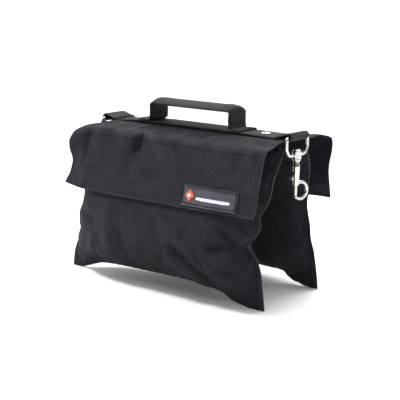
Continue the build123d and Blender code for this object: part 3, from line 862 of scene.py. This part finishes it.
def make_pouch(end, side):
    """A pouch's two faces as one thin-walled piece, with its end seams and its bottom seam."""
    body = f"{end}_pouch"
    outer, inner = pouch_grids(end, side)
    outer_fine = refined(outer)
    inner_fine = refined(inner)
    half = CLOTH_T / 2
    parts = [shell_parts(grid, half, half) for grid in (outer_fine, inner_fine)]
    pouch = joined(f"{end}_pouch_cloth", parts, SHELL)
    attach(pouch, body)
    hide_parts(f"{end}_outer_panel", f"{end}_inner_panel", f"{end}_bottom_corners")
    make_side_seams(end, side, outer_fine)
    make_bottom_seam(end, outer_fine)
    return outer_fine, inner_fine


def make_side_seams(end, side, outer):
    """The bound seam that stands out from each end of a pouch, with its row of stitches."""
    fins, threads_laid = [], []
    for column, outward in ((0, -1), (-1, 1)):
        line = smooth_line(outer[:, column], 2.5)
        reach = np.array([-1.2, 0.6, 2.2, 3.6, 4.6, 5.0])
        grid = line[:, None] + reach[None, :, None] * np.array([outward, 0, 0])[None, None, :]
        swell = np.array([1.5, 1.7, 1.25, 1.7, 1.55, 0.7])[None, :]
        sway = 0.5 * ripple(line[:, 2:3], reach[None, :], 26, 11 + side)
        grid[..., 1] += side * sway * reach[None, :] / 5
        fins.append(shell_parts(grid, swell, swell))
        normals = np.broadcast_to([0.0, side, 0.0], line.shape)
        for face in (1, -1):
            row = line + np.array([outward * 2.2, side * face * 1.3, 0])
            threads_laid.extend(stitch_parts(row, normals * face, radius=0.3))
    binding = joined(f"{end}_side_seams", fins, BINDING)
    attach(binding, f"{end}_pouch")
    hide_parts(f"{end}_side_binding")
    sewn = joined(f"{end}_side_stitches", threads_laid, THREAD)
    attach(sewn, f"{end}_pouch")


def make_bottom_seam(end, outer):
    """The turned-in seam along the bottom, from one foot to the other."""
    line = smooth_line(outer[0, ::4], 2.5)
    radius = 1.1 + 0.25 * np.sin(np.arange(len(line)) * 0.9)
    line[:, 2] = np.maximum(line[:, 2], 1.4)
    seam = joined(f"{end}_bottom_seam", [tube_parts(line, radius, 10)], SHELL)
    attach(seam, f"{end}_pouch")


def inside(grid, side, inset, top):
    """A pouch's face moved inward, as far up as top, with even rows."""
    rows = np.linspace(0, 1, 25)
    margin = 18
    columns = range(margin, grid.shape[1] - margin, 2)
    face = np.zeros((len(rows), len(columns), 3))
    for k, column in enumerate(columns):
        line = grid[:, column][np.argsort(grid[:, column, 2])]
        z = line[0, 2] + 9 + (top - line[0, 2] - 9) * rows
        plane = curve(PLANE, z)
        wide = side * np.interp(z, line[:, 2], line[:, 1]) - plane
        wide = np.sign(wide) * np.maximum(np.abs(wide) - inset, 0.3 * np.abs(wide))
        face[:, k] = np.stack([np.interp(z, line[:, 2], line[:, 0]), side * (plane + wide), z], 1)
    return face


def make_sand(end, side, outer, inner):
    """The inner bag, open at its neck, and the sand in it."""
    neck = box_of(f"{end}_sand_liner")[1][2]
    level = box_of(f"{end}_sand_fill")[1][2]
    faces = [inside(grid, side, 3.2, neck) for grid in (outer, inner)]
    loop = np.concatenate([faces[0][::-1], faces[1]])
    loop[..., 1] += 0.5 * ripple(loop[..., 0], loop[..., 2], 22, 21)
    bag = shell(f"{end}_liner_bag", loop, 0.4, 0.4, FILM)
    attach(bag, f"{end}_pouch")
    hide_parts(f"{end}_sand_liner")

    faces = [inside(grid, side, 5.2, level) for grid in (outer, inner)]
    share = np.linspace(0, 1, 11)[1:-1, None, None]
    heap = faces[0][-1] * (1 - share) + faces[1][-1] * share
    heap[..., 2] += 5 * np.sin(math.pi * share[..., 0]) + 1.2 * ripple(heap[..., 0], heap[..., 1], 25, 5)
    loop = np.concatenate([faces[0], heap, faces[1][::-1]])
    rows, columns = loop.shape[:2]
    ring = np.arange(rows)
    skin = quads(rows, columns).tolist()
    skin += [[(rows - 1) * columns + c, c, c + 1, (rows - 1) * columns + c + 1] for c in range(columns - 1)]
    skin += [(ring * columns)[::-1].tolist(), (ring * columns + columns - 1).tolist()]
    sand = add_mesh(f"{end}_sand", loop, skin, flat_map(loop), SAND)
    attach(sand, f"{end}_pouch")
    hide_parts(f"{end}_sand_fill")


# ---- flaps ----


def flap_grid(side):
    """The flap before it settles: rows from the spine over the fold to the hem, columns along the bag."""
    line = smooth_line(FLAP_SECTION, GRID)
    drop = along(line)
    fold = drop[np.argmin(np.abs(line[:, 0] - CREST[1]) + 10 * (line[:, 1] < 250))]
    x = np.linspace(-HALF, HALF, round(2 * HALF / GRID) + 1)[None, :]
    start = line[0, 0] + NOTCH_IN * ease(-x, NOTCH_FROM, NOTCH_TO)
    share = np.clip((CREST[1] - line[:, :1]) / (CREST[1] - line[0, 0]), 0, 1)
    y = line[:, :1] + (start - line[0, 0]) * share
    top = curve(line[line[:, 0] < CREST[1]], y)
    z = np.where(share > 0, top, line[:, 1:])
    below = drop[:, None] - fold
    hang = ease(below, 2, 26)
    total = drop[-1] - fold
    stiff = ease(below, total - HEM - 6, total - HEM + 8)
    out = np.zeros(np.broadcast(x, below).shape)
    for at, width, high, lean, length in FLAP_FOLDS:
        centre = at + lean * below
        fade = ease(below, -14, 16) * (1 - 0.78 * ease(below, length * 0.45, length))
        out = out + high * np.exp(-(((x - centre) / width) ** 2)) * fade
    out = out * (1 - 0.7 * stiff) + 0.5 * ripple(x, below, 40, 8) * hang * (1 - stiff)
    out = out + ripple(x, 0 * below, 120, 15) * hang
    left = ease(-x, 158, HALF)
    right = ease(x, 150, HALF)
    out = out + curve(LEFT_EDGE, below) * left
    if side > 0:
        out = out + curve(REAR_EDGE, below) * ease(x, 118, HALF)
    else:
        out = out - 2.0 * right * np.sin(math.pi * np.clip(below / 50, 0, 1))
    wave = -1.4 * np.sin(below / 17.0 + 0.8) * right * hang
    dip = 0.9 * (1 - (x / HALF) ** 2) * ease(share, 0.0, 0.4)
    z = z - dip - curve(DROOP, x) * (1 - 1.35 * np.clip(below / total, 0, 1))
    return stacked(MID + x + wave, side * (y + out), z), below[:, 0], total


def keep_clear(grid, under, side, gap, rows):
    """Push the given rows of a hanging grid outward until they clear the surface under it."""
    faces = quads(*under.shape[:2]).tolist()
    tree = BVHTree.FromPolygons([Vector(p) for p in under.reshape(-1, 3)], faces)
    for r in rows:
        for c in range(grid.shape[1]):
            x, y, z = grid[r, c]
            hit = tree.ray_cast(Vector((x, side * 300.0, z)), Vector((0, -side, 0)))[0]
            if hit is not None and side * y < side * hit.y + gap[r]:
                grid[r, c, 1] = hit.y + side * gap[r]


def make_flap(end, side, outer):
    """A cover flap with its hems and stitch rows."""
    grid, below, total = flap_grid(side)
    rows, columns = grid.shape[:2]
    pins = np.zeros((rows, columns))
    pins[:3] = 1
    pins[np.abs(below) < 4] = 0.35
    pins[below > total - HEM] = 0.25
    pins[-1] = 0.6
    faces = quads(rows, columns)
    moved = settled(
        f"{end}_flap_run", grid.reshape(-1, 3), faces if side < 0 else faces[:, ::-1], pins.ravel(),
        pressure=0.15, growth=0.014, cap=3.2, gravity=0.25, bending=1.2,
    )
    grid = refined(moved.reshape(rows, columns, 3))
    below = np.interp(np.arange(len(grid)) / 2, np.arange(rows), below)
    gap = np.where(below > total - HEM - 2, HEM_GAP, FLAP_GAP)
    hanging = np.nonzero(below > 12)[0]
    keep_clear(grid, outer, side, gap, hanging)
    soften(grid, hanging)
    x = grid[..., 0] - MID
    edge = np.minimum(HALF - np.abs(x), total - below[:, None] + 0 * x)
    hem = ease(below[:, None], total - HEM - 1.2, total - HEM + 0.6)
    hem = np.maximum(hem, ease(np.abs(x) - HALF, -12, -9.5))
    groove = np.exp(-(((edge - HEM_SEWN) / 1.3) ** 2))
    groove = groove + np.exp(-(((below[:, None] - FOLD_SEWN) / 1.5) ** 2))
    out = CLOTH_T / 2 + 0.75 * hem - 0.35 * np.minimum(groove, 1)
    out = out * (0.55 + 0.45 * ease(edge, -0.2, 1.6))
    back = CLOTH_T / 2 + 0 * out
    if side > 0:
        out, back = back, out
    cloth = shell(f"{end}_flap_cloth", grid, out, back, SHELL)
    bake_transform(cloth)
    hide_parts(f"{end}_flap")
    sewn = flap_stitches(end, side, grid, below, total)
    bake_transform(sewn)
    return grid, below, total


def soften(grid, rows):
    """Even out the given rows of a grid after they were pushed clear."""
    for _ in range(3):
        for r in rows[1:-1]:
            grid[r, 1:-1, 1] = 0.4 * grid[r, 1:-1, 1] + 0.15 * (
                grid[r - 1, 1:-1, 1] + grid[r + 1, 1:-1, 1] + grid[r, :-2, 1] + grid[r, 2:, 1]
            )


def flap_stitches(end, side, grid, below, total):
    """Rows of stitches under the fold, above the hem, and along the flap's three free edges."""
    columns = np.arange(0, grid.shape[1] - 1, 0.5)
    lines = []
    wander = 0.9 * np.sin(columns / 9.0)
    inset = END_SEWN / FINE
    across = np.linspace(inset, grid.shape[1] - 1 - inset, 300)
    lines.append((row_of(below, FOLD_SEWN) + 0 * columns + 0.35 * wander, columns))
    lines.append((row_of(below, total - HEM + 1.6) + 0 * columns, columns))
    lines.append((row_of(below, total - HEM_SEWN) + 0 * across, across))
    down = np.linspace(*row_of(below, [FOLD_SEWN - 2, total - HEM_SEWN]), 200)
    for column in (inset, grid.shape[1] - 1 - inset):
        lines.append((down, column + 0 * down))
    parts = []
    for r, c in lines:
        normals = sampled(normals_of(grid), r, c)
        outward = normals * np.sign(normals[:, 1:2] * side + 1e-6)
        outward = np.where(np.abs(normals[:, 1:2]) < 0.2, normals * np.sign(normals[:, 2:3]), outward)
        lift = CLOTH_T / 2 + (0.45 if r.mean() > row_of(below, total - HEM) or r is down else 0.1)
        parts.extend(stitch_parts(sampled(grid, r, c) + outward * lift, outward, radius=0.36))
    return joined(f"{end}_flap_stitches", parts, THREAD)


def make_shoulder(end, side):
    """The cloth that runs from under the strap to the flap."""
    x = np.linspace(-(NOTCH_FROM + 6), HALF - 5, 80)[None, :]
    y = np.array([17.0, 21, 24, 26, 27, 28, 29, 30, 32, 35, 39, 42])[:, None]
    z = np.interp(y, (17, 25, 42), (261.0, 259.6, 256.6)) + 0.35 * ripple(x, y, 24, 31)
    grid = stacked(MID + x, side * y, z)
    piece = shell(f"{end}_shoulder_cloth", grid, CLOTH_T / 2, CLOTH_T / 2, INSIDE)
    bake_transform(piece)
    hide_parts(f"{end}_shoulder")


def make_tapes(end, side, grid, below, total, outer):
    """Hook tape inside the flap, and loop tape on the pouch under it."""
    low, high = box_of(f"{end}_hook_tape")
    rows = row_of(below, np.linspace(total - 26, total - 8, 9))[:, None]
    columns = (np.linspace(low[0], high[0], 100) - MID + HALF) / FINE
    columns = columns[None, :] + 0 * rows
    strip, _ = off_surface(grid, rows + 0 * columns, columns, side, -1.25)
    hooks = shell(f"{end}_hook_strip", strip, 0.55, 0.55, HOOKS)
    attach(hooks, f"{end}_flap")
    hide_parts(f"{end}_hook_tape")
    heights = outer[:, outer.shape[1] // 2, 2]
    rows = row_of(heights, np.linspace(high[2] - 22, high[2] - 2, 9))
    strip, _ = off_surface(outer, rows[:, None] + 0 * columns, columns, side, 1.2)
    loops = shell(f"{end}_loop_strip", strip, 0.5, 0.5, LOOPS)
    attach(loops, f"{end}_pouch")
    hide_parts(f"{end}_loop_tape")


def make_label(grid, below, total):
    """The moulded rubber label: raised rim, stitched channel, a dotted diamond and a bar."""
    low, high = box_of("label_patch")
    length = high[0] - low[0]
    width = LABEL_WIDTH
    rim = np.array([1.2, 2.6, 3.4, 4.8, 5.6])
    u = np.unique(np.concatenate([np.linspace(0, length, 55), rim, length - rim]))
    v = np.unique(np.concatenate([np.linspace(0, width, 17), rim, width - rim]))
    hem_top = total - HEM - LABEL_OVER_HEM

    def spot(u, v):
        """Row and column of the flap at a place on the label."""
        return row_of(below, hem_top + v), (low[0] + u - MID + HALF) / FINE

    face, _ = off_surface(grid, *spot(*np.meshgrid(u, v)), -1, 1.2)
    edge = np.minimum(np.minimum(u, length - u)[None, :], np.minimum(v, width - v)[:, None])
    height = 2.2 - 0.8 * np.exp(-(((edge - 3.2) / 0.8) ** 2)) + 0.9 * np.exp(-(((edge - 1.5) / 0.8) ** 2))
    height = height - 0.9 * (1 - ease(edge, 0, 1.2))
    sign = np.sign(-normals_of(face)[..., 1].mean())
    out, back = (height - 1.2, 0.1 + 0 * height) if sign > 0 else (0.1 + 0 * height, height - 1.2)
    label = shell("label_rubber", face, out, back, RUBBER)
    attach(label, "front_flap")
    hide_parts("label_patch")
    near, far_u, far_v = LABEL_SEWN, length - LABEL_SEWN, width - LABEL_SEWN
    track = spaced([(near, near), (far_u, near), (far_u, far_v), (near, far_v), (near, near)], 1.0)
    line, outward = off_surface(grid, *spot(track[:, 0], track[:, 1]), -1, 2.6)
    sewn = joined("label_stitches", stitch_parts(line, outward, 3.8, 0.55), BLACK_THREAD)
    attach(sewn, "front_flap")
    middle = (length / 2, width / 2)
    raised("label_plate", grid, spot, middle, length / 2 - 3.4, width / 2 - 3.4, 40.0, PLATE, lift=1.75)
    raised("label_emblem", grid, spot, (17.5, width / 2), 9.2, 9.2, 1.0, ORANGE, lift=2.5)
    raised("label_dot", grid, spot, (17.5, width / 2), 3.0, 3.0, 2.0, PALE, lift=3.1)
    raised("label_bar", grid, spot, (62.0, width / 2 + 3.5), 31.5, 2.5, 6.0, PALE, lift=2.5)


def raised(name, grid, spot, centre, half_long, half_wide, power, material, lift):
    """A low raised figure on the label, from a diamond (power 1) to a rounded bar."""
    rings = np.array([0.02, 0.4, 0.75, 0.93, 1.0, 1.0])
    high = np.array([0.75, 0.75, 0.72, 0.6, 0.3, -0.3])
    angle = np.linspace(0, 2 * math.pi, 61)[:-1]
    shape = (np.abs(np.cos(angle)) ** power + np.abs(np.sin(angle)) ** power) ** (-1 / power)
    u = centre[0] + rings[:, None] * (half_long * shape * np.cos(angle))[None, :]
    v = centre[1] + rings[:, None] * (half_wide * shape * np.sin(angle))[None, :]
    points, _ = off_surface(grid, *spot(u, v), -1, (lift + high)[:, None, None])
    count = len(angle)
    faces = []
    for ring in range(len(rings) - 1):
        for k in range(count):
            following = (k + 1) % count
            a, b = ring * count + k, ring * count + following
            faces.append([a, a + count, b + count, b])
    faces.append(list(range(count)))
    faces.append(list(range(len(rings) * count - 1, (len(rings) - 1) * count - 1, -1)))
    piece = add_mesh(name, points, faces, np.stack([u, v], 2), material)
    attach(piece, "front_flap")


# ---- webbing ----


def strap_z(x):
    """Height of the strap's top face at x."""
    left = LEFT_BAR[2] - BAR_LIFT
    right = RIGHT_BAR[2] - BAR_LIFT
    places = (LEFT_BAR[0], MID - LEVEL, MID + LEVEL, RIGHT_BAR[0])
    return np.interp(x, places, (left, STRAP_TOP, STRAP_TOP, right))


def web_parts(path, half=WEB_HALF, thickness=WEB_T, crown=None):
    """Webbing along a path of (x, z) points, with ribs across it and scalloped edges.

    Where the path is near the height called crown, its edges curl down.
    """
    line = spaced(path, WEB_STEP)
    run = np.arange(len(line)) * WEB_STEP
    across = np.array([-1, -0.985, -0.95, -0.85, -0.6, -0.3, 0, 0.3, 0.6, 0.85, 0.95, 0.985, 1])[None, :]
    wave = np.sin(2 * math.pi * run / PITCH)[:, None]
    y = across * (half + SCALLOP * wave * np.abs(across) ** 12)
    grid = stacked(line[:, :1], y, line[:, 1:])
    if crown is not None:
        grid[..., 2] -= CROWN * (y / half) ** 2 * ease(grid[..., 2], crown - 16, crown - 1)
    swell = thickness / 2 * (1 - 0.55 * np.abs(across) ** 14) * (1 + 0.12 * wave)
    mapping = stacked(y, run[:, None])
    return shell_parts(grid, swell, swell, mapping)


def arc(centre, radius, start, stop, steps=14):
    """Points on an arc in the x-z plane, angles in degrees from +X towards +Z."""
    angle = np.radians(np.linspace(start, stop, steps))
    return [(centre[0] + radius * math.cos(a), centre[1] + radius * math.sin(a)) for a in angle]


def make_strap():
    """The strap: one length of webbing, folded back over the bar at each end and sewn down."""
    under = -WEB_T / 2
    over = WEB_T / 2 + 0.1
    radius = BAR_RADIUS + 0.25 + (WEB_T + PUFF) / 2
    left_end = LEFT_BAR[0] + FOLD_END
    right_end = RIGHT_BAR[0] - FOLD_END
    path = [(left_end, strap_z(left_end) + over), (left_end - 6, strap_z(left_end - 6) + over + 0.3)]
    path += arc((LEFT_BAR[0], LEFT_BAR[2] + PUFF / 2), radius, 66, 262)
    path += [(LEFT_BAR[0] + 10, strap_z(LEFT_BAR[0] + 10) + under)]
    path += [(x, strap_z(x) + under) for x in (MID - LEVEL - 30, MID - LEVEL, MID + LEVEL, MID + LEVEL + 30)]
    path += [(RIGHT_BAR[0] - 10, strap_z(RIGHT_BAR[0] - 10) + under)]
    path += arc((RIGHT_BAR[0], RIGHT_BAR[2] + PUFF / 2), radius, -82, 114)
    path += [(right_end + 6, strap_z(right_end + 6) + over + 0.3), (right_end, strap_z(right_end) + over)]
    strap = joined("top_strap_webbing", [web_parts(path)], WEBBING)
    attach(strap, "saddle")
    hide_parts("top_strap")
    parts = []
    for end, way in ((left_end, -1), (right_end, 1)):
        for step in (2.5, 6.5):
            x = end + way * step
            line = np.array([(x, y, strap_z(x) + WEB_T + 0.4) for y in np.linspace(-22, 22, 45)])
            parts.extend(stitches_on_top(line))
    rows = (
        (left_end + 4, LEG_LEFT - 30, 60),
        (LEG_RIGHT + 32, right_end - 4, 60),
        (LEG_LEFT + 6, LEG_RIGHT - 6, 160),
    )
    for y in (-STRAP_SEWN, STRAP_SEWN):
        for start, stop, count in rows:
            line = np.array([(x, y, strap_z(x) + 0.1) for x in np.linspace(start, stop, count)])
            parts.extend(stitches_on_top(line))
    sewn = joined("top_strap_stitches", parts, THREAD)
    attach(sewn, "saddle")


def make_spine():
    """The bag's own cloth under the strap."""
    low, high = box_of("spine_panel")
    x = np.linspace(low[0], high[0], 120)[None, :]
    y = np.linspace(low[1], high[1], 15)[:, None]
    z = strap_z(x) - WEB_T - 1.2 - 0.5 * (y / WEB_HALF) ** 2 + 0.25 * ripple(x, y, 30, 51)
    grid = stacked(x, y, z)
    piece = shell("spine_cloth", grid, CLOTH_T / 2, CLOTH_T / 2, INSIDE)
    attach(piece, "saddle")
    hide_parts("spine_panel")


def handle_paths():
    """Paths of the handle's five lengths of webbing, from the left foot over the grip to the right foot."""
    fold = LEFT_LEG[2]
    left_foot = [(LEG_LEFT - FOOT_REACH, FOOT_Z + 0.1), (LEG_LEFT - 6, FOOT_Z)]
    left_foot += arc((LEG_LEFT - 5.5, FOOT_Z + 5.5), 5.5, -88, -4, 9)
    left_foot += [(LEG_LEFT, fold + 9), (LEG_LEFT + 0.4, fold + 15)]
    left_grip = [(LEG_LEFT + 0.4, fold + 14), (LEG_LEFT, GRIP_TOP - 12)]
    left_grip += arc((LEG_LEFT + 6, GRIP_TOP - 6), 6, 176, 92, 10)
    left_grip += [(LEG_LEFT + 14, GRIP_TOP), (GRIP_MIDDLE + 0.5, GRIP_TOP)]
    right_grip = [(GRIP_MIDDLE - 0.5, GRIP_TOP), (LEG_RIGHT - 9, GRIP_TOP)]
    right_grip += arc((LEG_RIGHT - 6, GRIP_TOP - 6), 6, 86, 4, 9)
    right_grip += [(LEG_RIGHT, GRIP_TOP - 9), (LEG_RIGHT - 0.3, fold + 14)]
    upright = [(LEG_RIGHT - 0.3, fold + 15), (LEG_RIGHT, fold + 8), (LEG_RIGHT, fold + 0.8)]
    right_foot = [(LEG_RIGHT + 0.2, fold + 4.5), (LEG_RIGHT + 0.4, fold + 2.6)]
    right_foot += [(LEG_RIGHT + 1.6, FOOT_Z + 0.8), (LEG_RIGHT + 4, FOOT_Z)]
    right_foot += [(LEG_RIGHT + FOOT_REACH, FOOT_Z - 0.2)]
    return left_foot, left_grip, right_grip, upright, right_foot


def handle_web(name, path, thickness, half=HANDLE_HALF, crown=None):
    """One length of the handle's webbing."""
    return joined(name, [web_parts(path, half, thickness, crown)], WEBBING)


def make_handle():
    """The handle: webbing that rises from two sewn feet to a grip of two layers."""
    left_foot, left_grip, right_grip, upright, right_foot = handle_paths()

    def at(x, z):
        return metres(x, 0.0, z)

    left_low = handle_web("handle_left_foot", left_foot, HANDLE_T)
    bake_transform(left_low)
    left_top = handle_web("handle_left_grip", left_grip, GRIP_T, crown=GRIP_TOP)
    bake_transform(left_top)
    right_top = handle_web("handle_right_grip", right_grip, GRIP_T, crown=GRIP_TOP)
    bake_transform(right_top)
    right_low = handle_web("handle_right_upright", upright, HANDLE_T)
    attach(right_low, "handle_right_leg")
    right_end = handle_web("handle_right_foot", right_foot, HANDLE_T)
    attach(right_end, "saddle")
    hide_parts("handle_left_leg")
    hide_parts("handle_right_leg")
    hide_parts("handle_feet")
    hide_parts("handle_grip")

    under = [(LEG_LEFT + 3, GRIP_TOP - 2.1), (GRIP_MIDDLE, GRIP_TOP - 2.2), (LEG_RIGHT - 3, GRIP_TOP - 2.1)]
    layer = handle_web("handle_grip_wrap", under, 2.0, HANDLE_HALF - 0.6, GRIP_TOP)
    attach(layer, "handle_grip")


def make_handle_stitches():
    """Three stitch rows across the grip, and the crossed box that holds each foot down."""
    parts = []
    for x in (LEG_LEFT + 15, LEG_RIGHT - 12, LEG_RIGHT - 16):
        across = np.linspace(-HANDLE_HALF + 2, HANDLE_HALF - 2, 40)
        line = np.array([(x, y, GRIP_TOP + 1.3 - CROWN * (y / HANDLE_HALF) ** 2) for y in across])
        parts.extend(stitches_on_top(line))
    sewn = joined("handle_grip_stitches", parts, THREAD)
    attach(sewn, "handle_grip")
    parts = []
    for x, way in ((LEG_LEFT - 8, -1), (LEG_RIGHT + 6, 1)):
        far = x + way * 18
        outline = [(x, -21), (far, -21), (far, 21), (x, 21), (x, -21), (far, 21), (far, -21), (x, 21)]
        line = np.array([(px, py, FOOT_Z + 1.35) for px, py in spaced(outline, 1.0)])
        parts.extend(stitches_on_top(line))
    feet = joined("handle_foot_stitches", parts, THREAD)
    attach(feet, "saddle")


def make_spring():
    """The coil spring above the bolt, fixed to the hook's body."""
    low, high = box_of("bolt_spring")
    centre = (low + high) / 2
    turn = np.linspace(0, 2 * math.pi * SPRING_TURNS, 40 * SPRING_TURNS)
    radius = (high[0] - low[0]) / 2 - SPRING_WIRE
    height = np.linspace(low[2] + SPRING_WIRE, high[2] - SPRING_WIRE, len(turn))
    line = np.stack([centre[0] + radius * np.cos(turn), centre[1] + radius * np.sin(turn), height], 1)
    spring = joined("bolt_coil", [tube_parts(line, SPRING_WIRE)], STEEL)
    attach(spring, "hook_body")
    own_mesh(spring)
    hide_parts("bolt_spring")


def finish_metal():
    """Materials of the CAD nodes that stay."""
    for name in METAL_NODES:
        node = frame["nodes"][name]
        node.data.materials.clear()
        node.data.materials.append(NICKEL)


# ---- light, floor and camera ----

AZIMUTH = 38.3
ELEVATION = 12.2
DISTANCE = 1.7794
AIM = Vector((0.0114, 0.0, 0.1376))
ROLL = 0.7
LENS = 94.5
SKY_AXIS = (-0.40, 0.50, 0.77)  # the sky is brightest this way, high and behind the bag
SKY_DARK, SKY_BRIGHT = 0.15, 1.9
FLOOR_REACH = 30000.0
FLOOR_TONES = ((0.93, 0.93, 0.93, 1), (0.95, 0.95, 0.95, 1))
LAMP_AIM = Vector((0, 0, 0.12))
# name, place, size and power of each lamp
LAMPS = (
    ("key", (-1.6, -0.5, 2.3), 0.45, 62),
    ("top", (-0.1, 1.1, 2.3), 1.1, 52),
    ("fill", (2.4, -0.9, 1.2), 1.2, 9),
)


def make_camera():
    """The camera, which looks at the front and the right end from a little above."""
    a, e = math.radians(AZIMUTH), math.radians(ELEVATION)
    back = Vector((math.sin(a) * math.cos(e), -math.cos(a) * math.cos(e), math.sin(e)))
    data = bpy.data.cameras.new("camera")
    data.lens = LENS
    data.sensor_width = 36.0
    camera = bpy.data.objects.new("camera", data)
    bpy.context.scene.collection.objects.link(camera)
    camera.location = AIM + back * DISTANCE
    camera.rotation_mode = "QUATERNION"
    turn = (-back).to_track_quat("-Z", "Y")
    roll = Quaternion((0, 0, 1), math.radians(ROLL))
    camera.rotation_quaternion = turn @ roll
    bpy.context.scene.camera = camera


def make_lamp(name, place, size, power):
    """A soft square lamp."""
    data = bpy.data.lights.new(name, "AREA")
    data.energy = power
    data.size = size
    lamp = bpy.data.objects.new(name, data)
    bpy.context.scene.collection.objects.link(lamp)
    lamp.location = place
    lamp.rotation_mode = "QUATERNION"
    lamp.rotation_quaternion = (LAMP_AIM - Vector(place)).to_track_quat("-Z", "Y")


def make_studio():
    """A plain pale floor, a white sky that is brighter behind the bag, and three soft lamps."""
    finish = Finish("floor", Roughness=0.9, Specular_IOR_Level=0.0)
    tone = finish.noise(finish.place(), 3.0)
    finish.link(finish.mixed(tone, *FLOOR_TONES), "Base Color")
    corners = FLOOR_REACH * np.array([(-1, -1, 0), (1, -1, 0), (1, 1, 0), (-1, 1, 0)])
    floor = add_mesh("floor", corners, [[0, 1, 2, 3]], corners[:, :2], finish.material)
    world = bpy.data.worlds.new("studio")
    world.use_nodes = True
    tree = world.node_tree
    place = tree.nodes.new("ShaderNodeTexCoord")
    tilt = tree.nodes.new("ShaderNodeVectorMath")
    tilt.operation = "DOT_PRODUCT"
    tilt.inputs[1].default_value = SKY_AXIS
    glow = tree.nodes.new("ShaderNodeMapRange")
    glow.inputs["To Min"].default_value = SKY_DARK
    glow.inputs["To Max"].default_value = SKY_BRIGHT
    tree.links.new(place.outputs["Generated"], tilt.inputs[0])
    tree.links.new(tilt.outputs["Value"], glow.inputs["Value"])
    tree.links.new(glow.outputs[0], tree.nodes["Background"].inputs["Strength"])
    tree.nodes["Background"].inputs["Color"].default_value = (1, 1, 1, 1)
    bpy.context.scene.world = world
    for lamp in LAMPS:
        make_lamp(*lamp)
    bpy.context.scene.view_settings.view_transform = "Standard"
    bpy.context.scene.view_settings.look = "None"


# ---- assembly ----

make_strap()
make_spine()
make_handle()
make_handle_stitches()
for end, side in SIDES.items():
    outer, inner = make_pouch(end, side)
    make_sand(end, side, outer, inner)
    make_shoulder(end, side)
    grid, below, total = make_flap(end, side, outer)
    make_tapes(end, side, grid, below, total, outer)
    if end == "front":
        make_label(grid, below, total)
make_spring()
finish_metal()
make_studio()
make_camera()
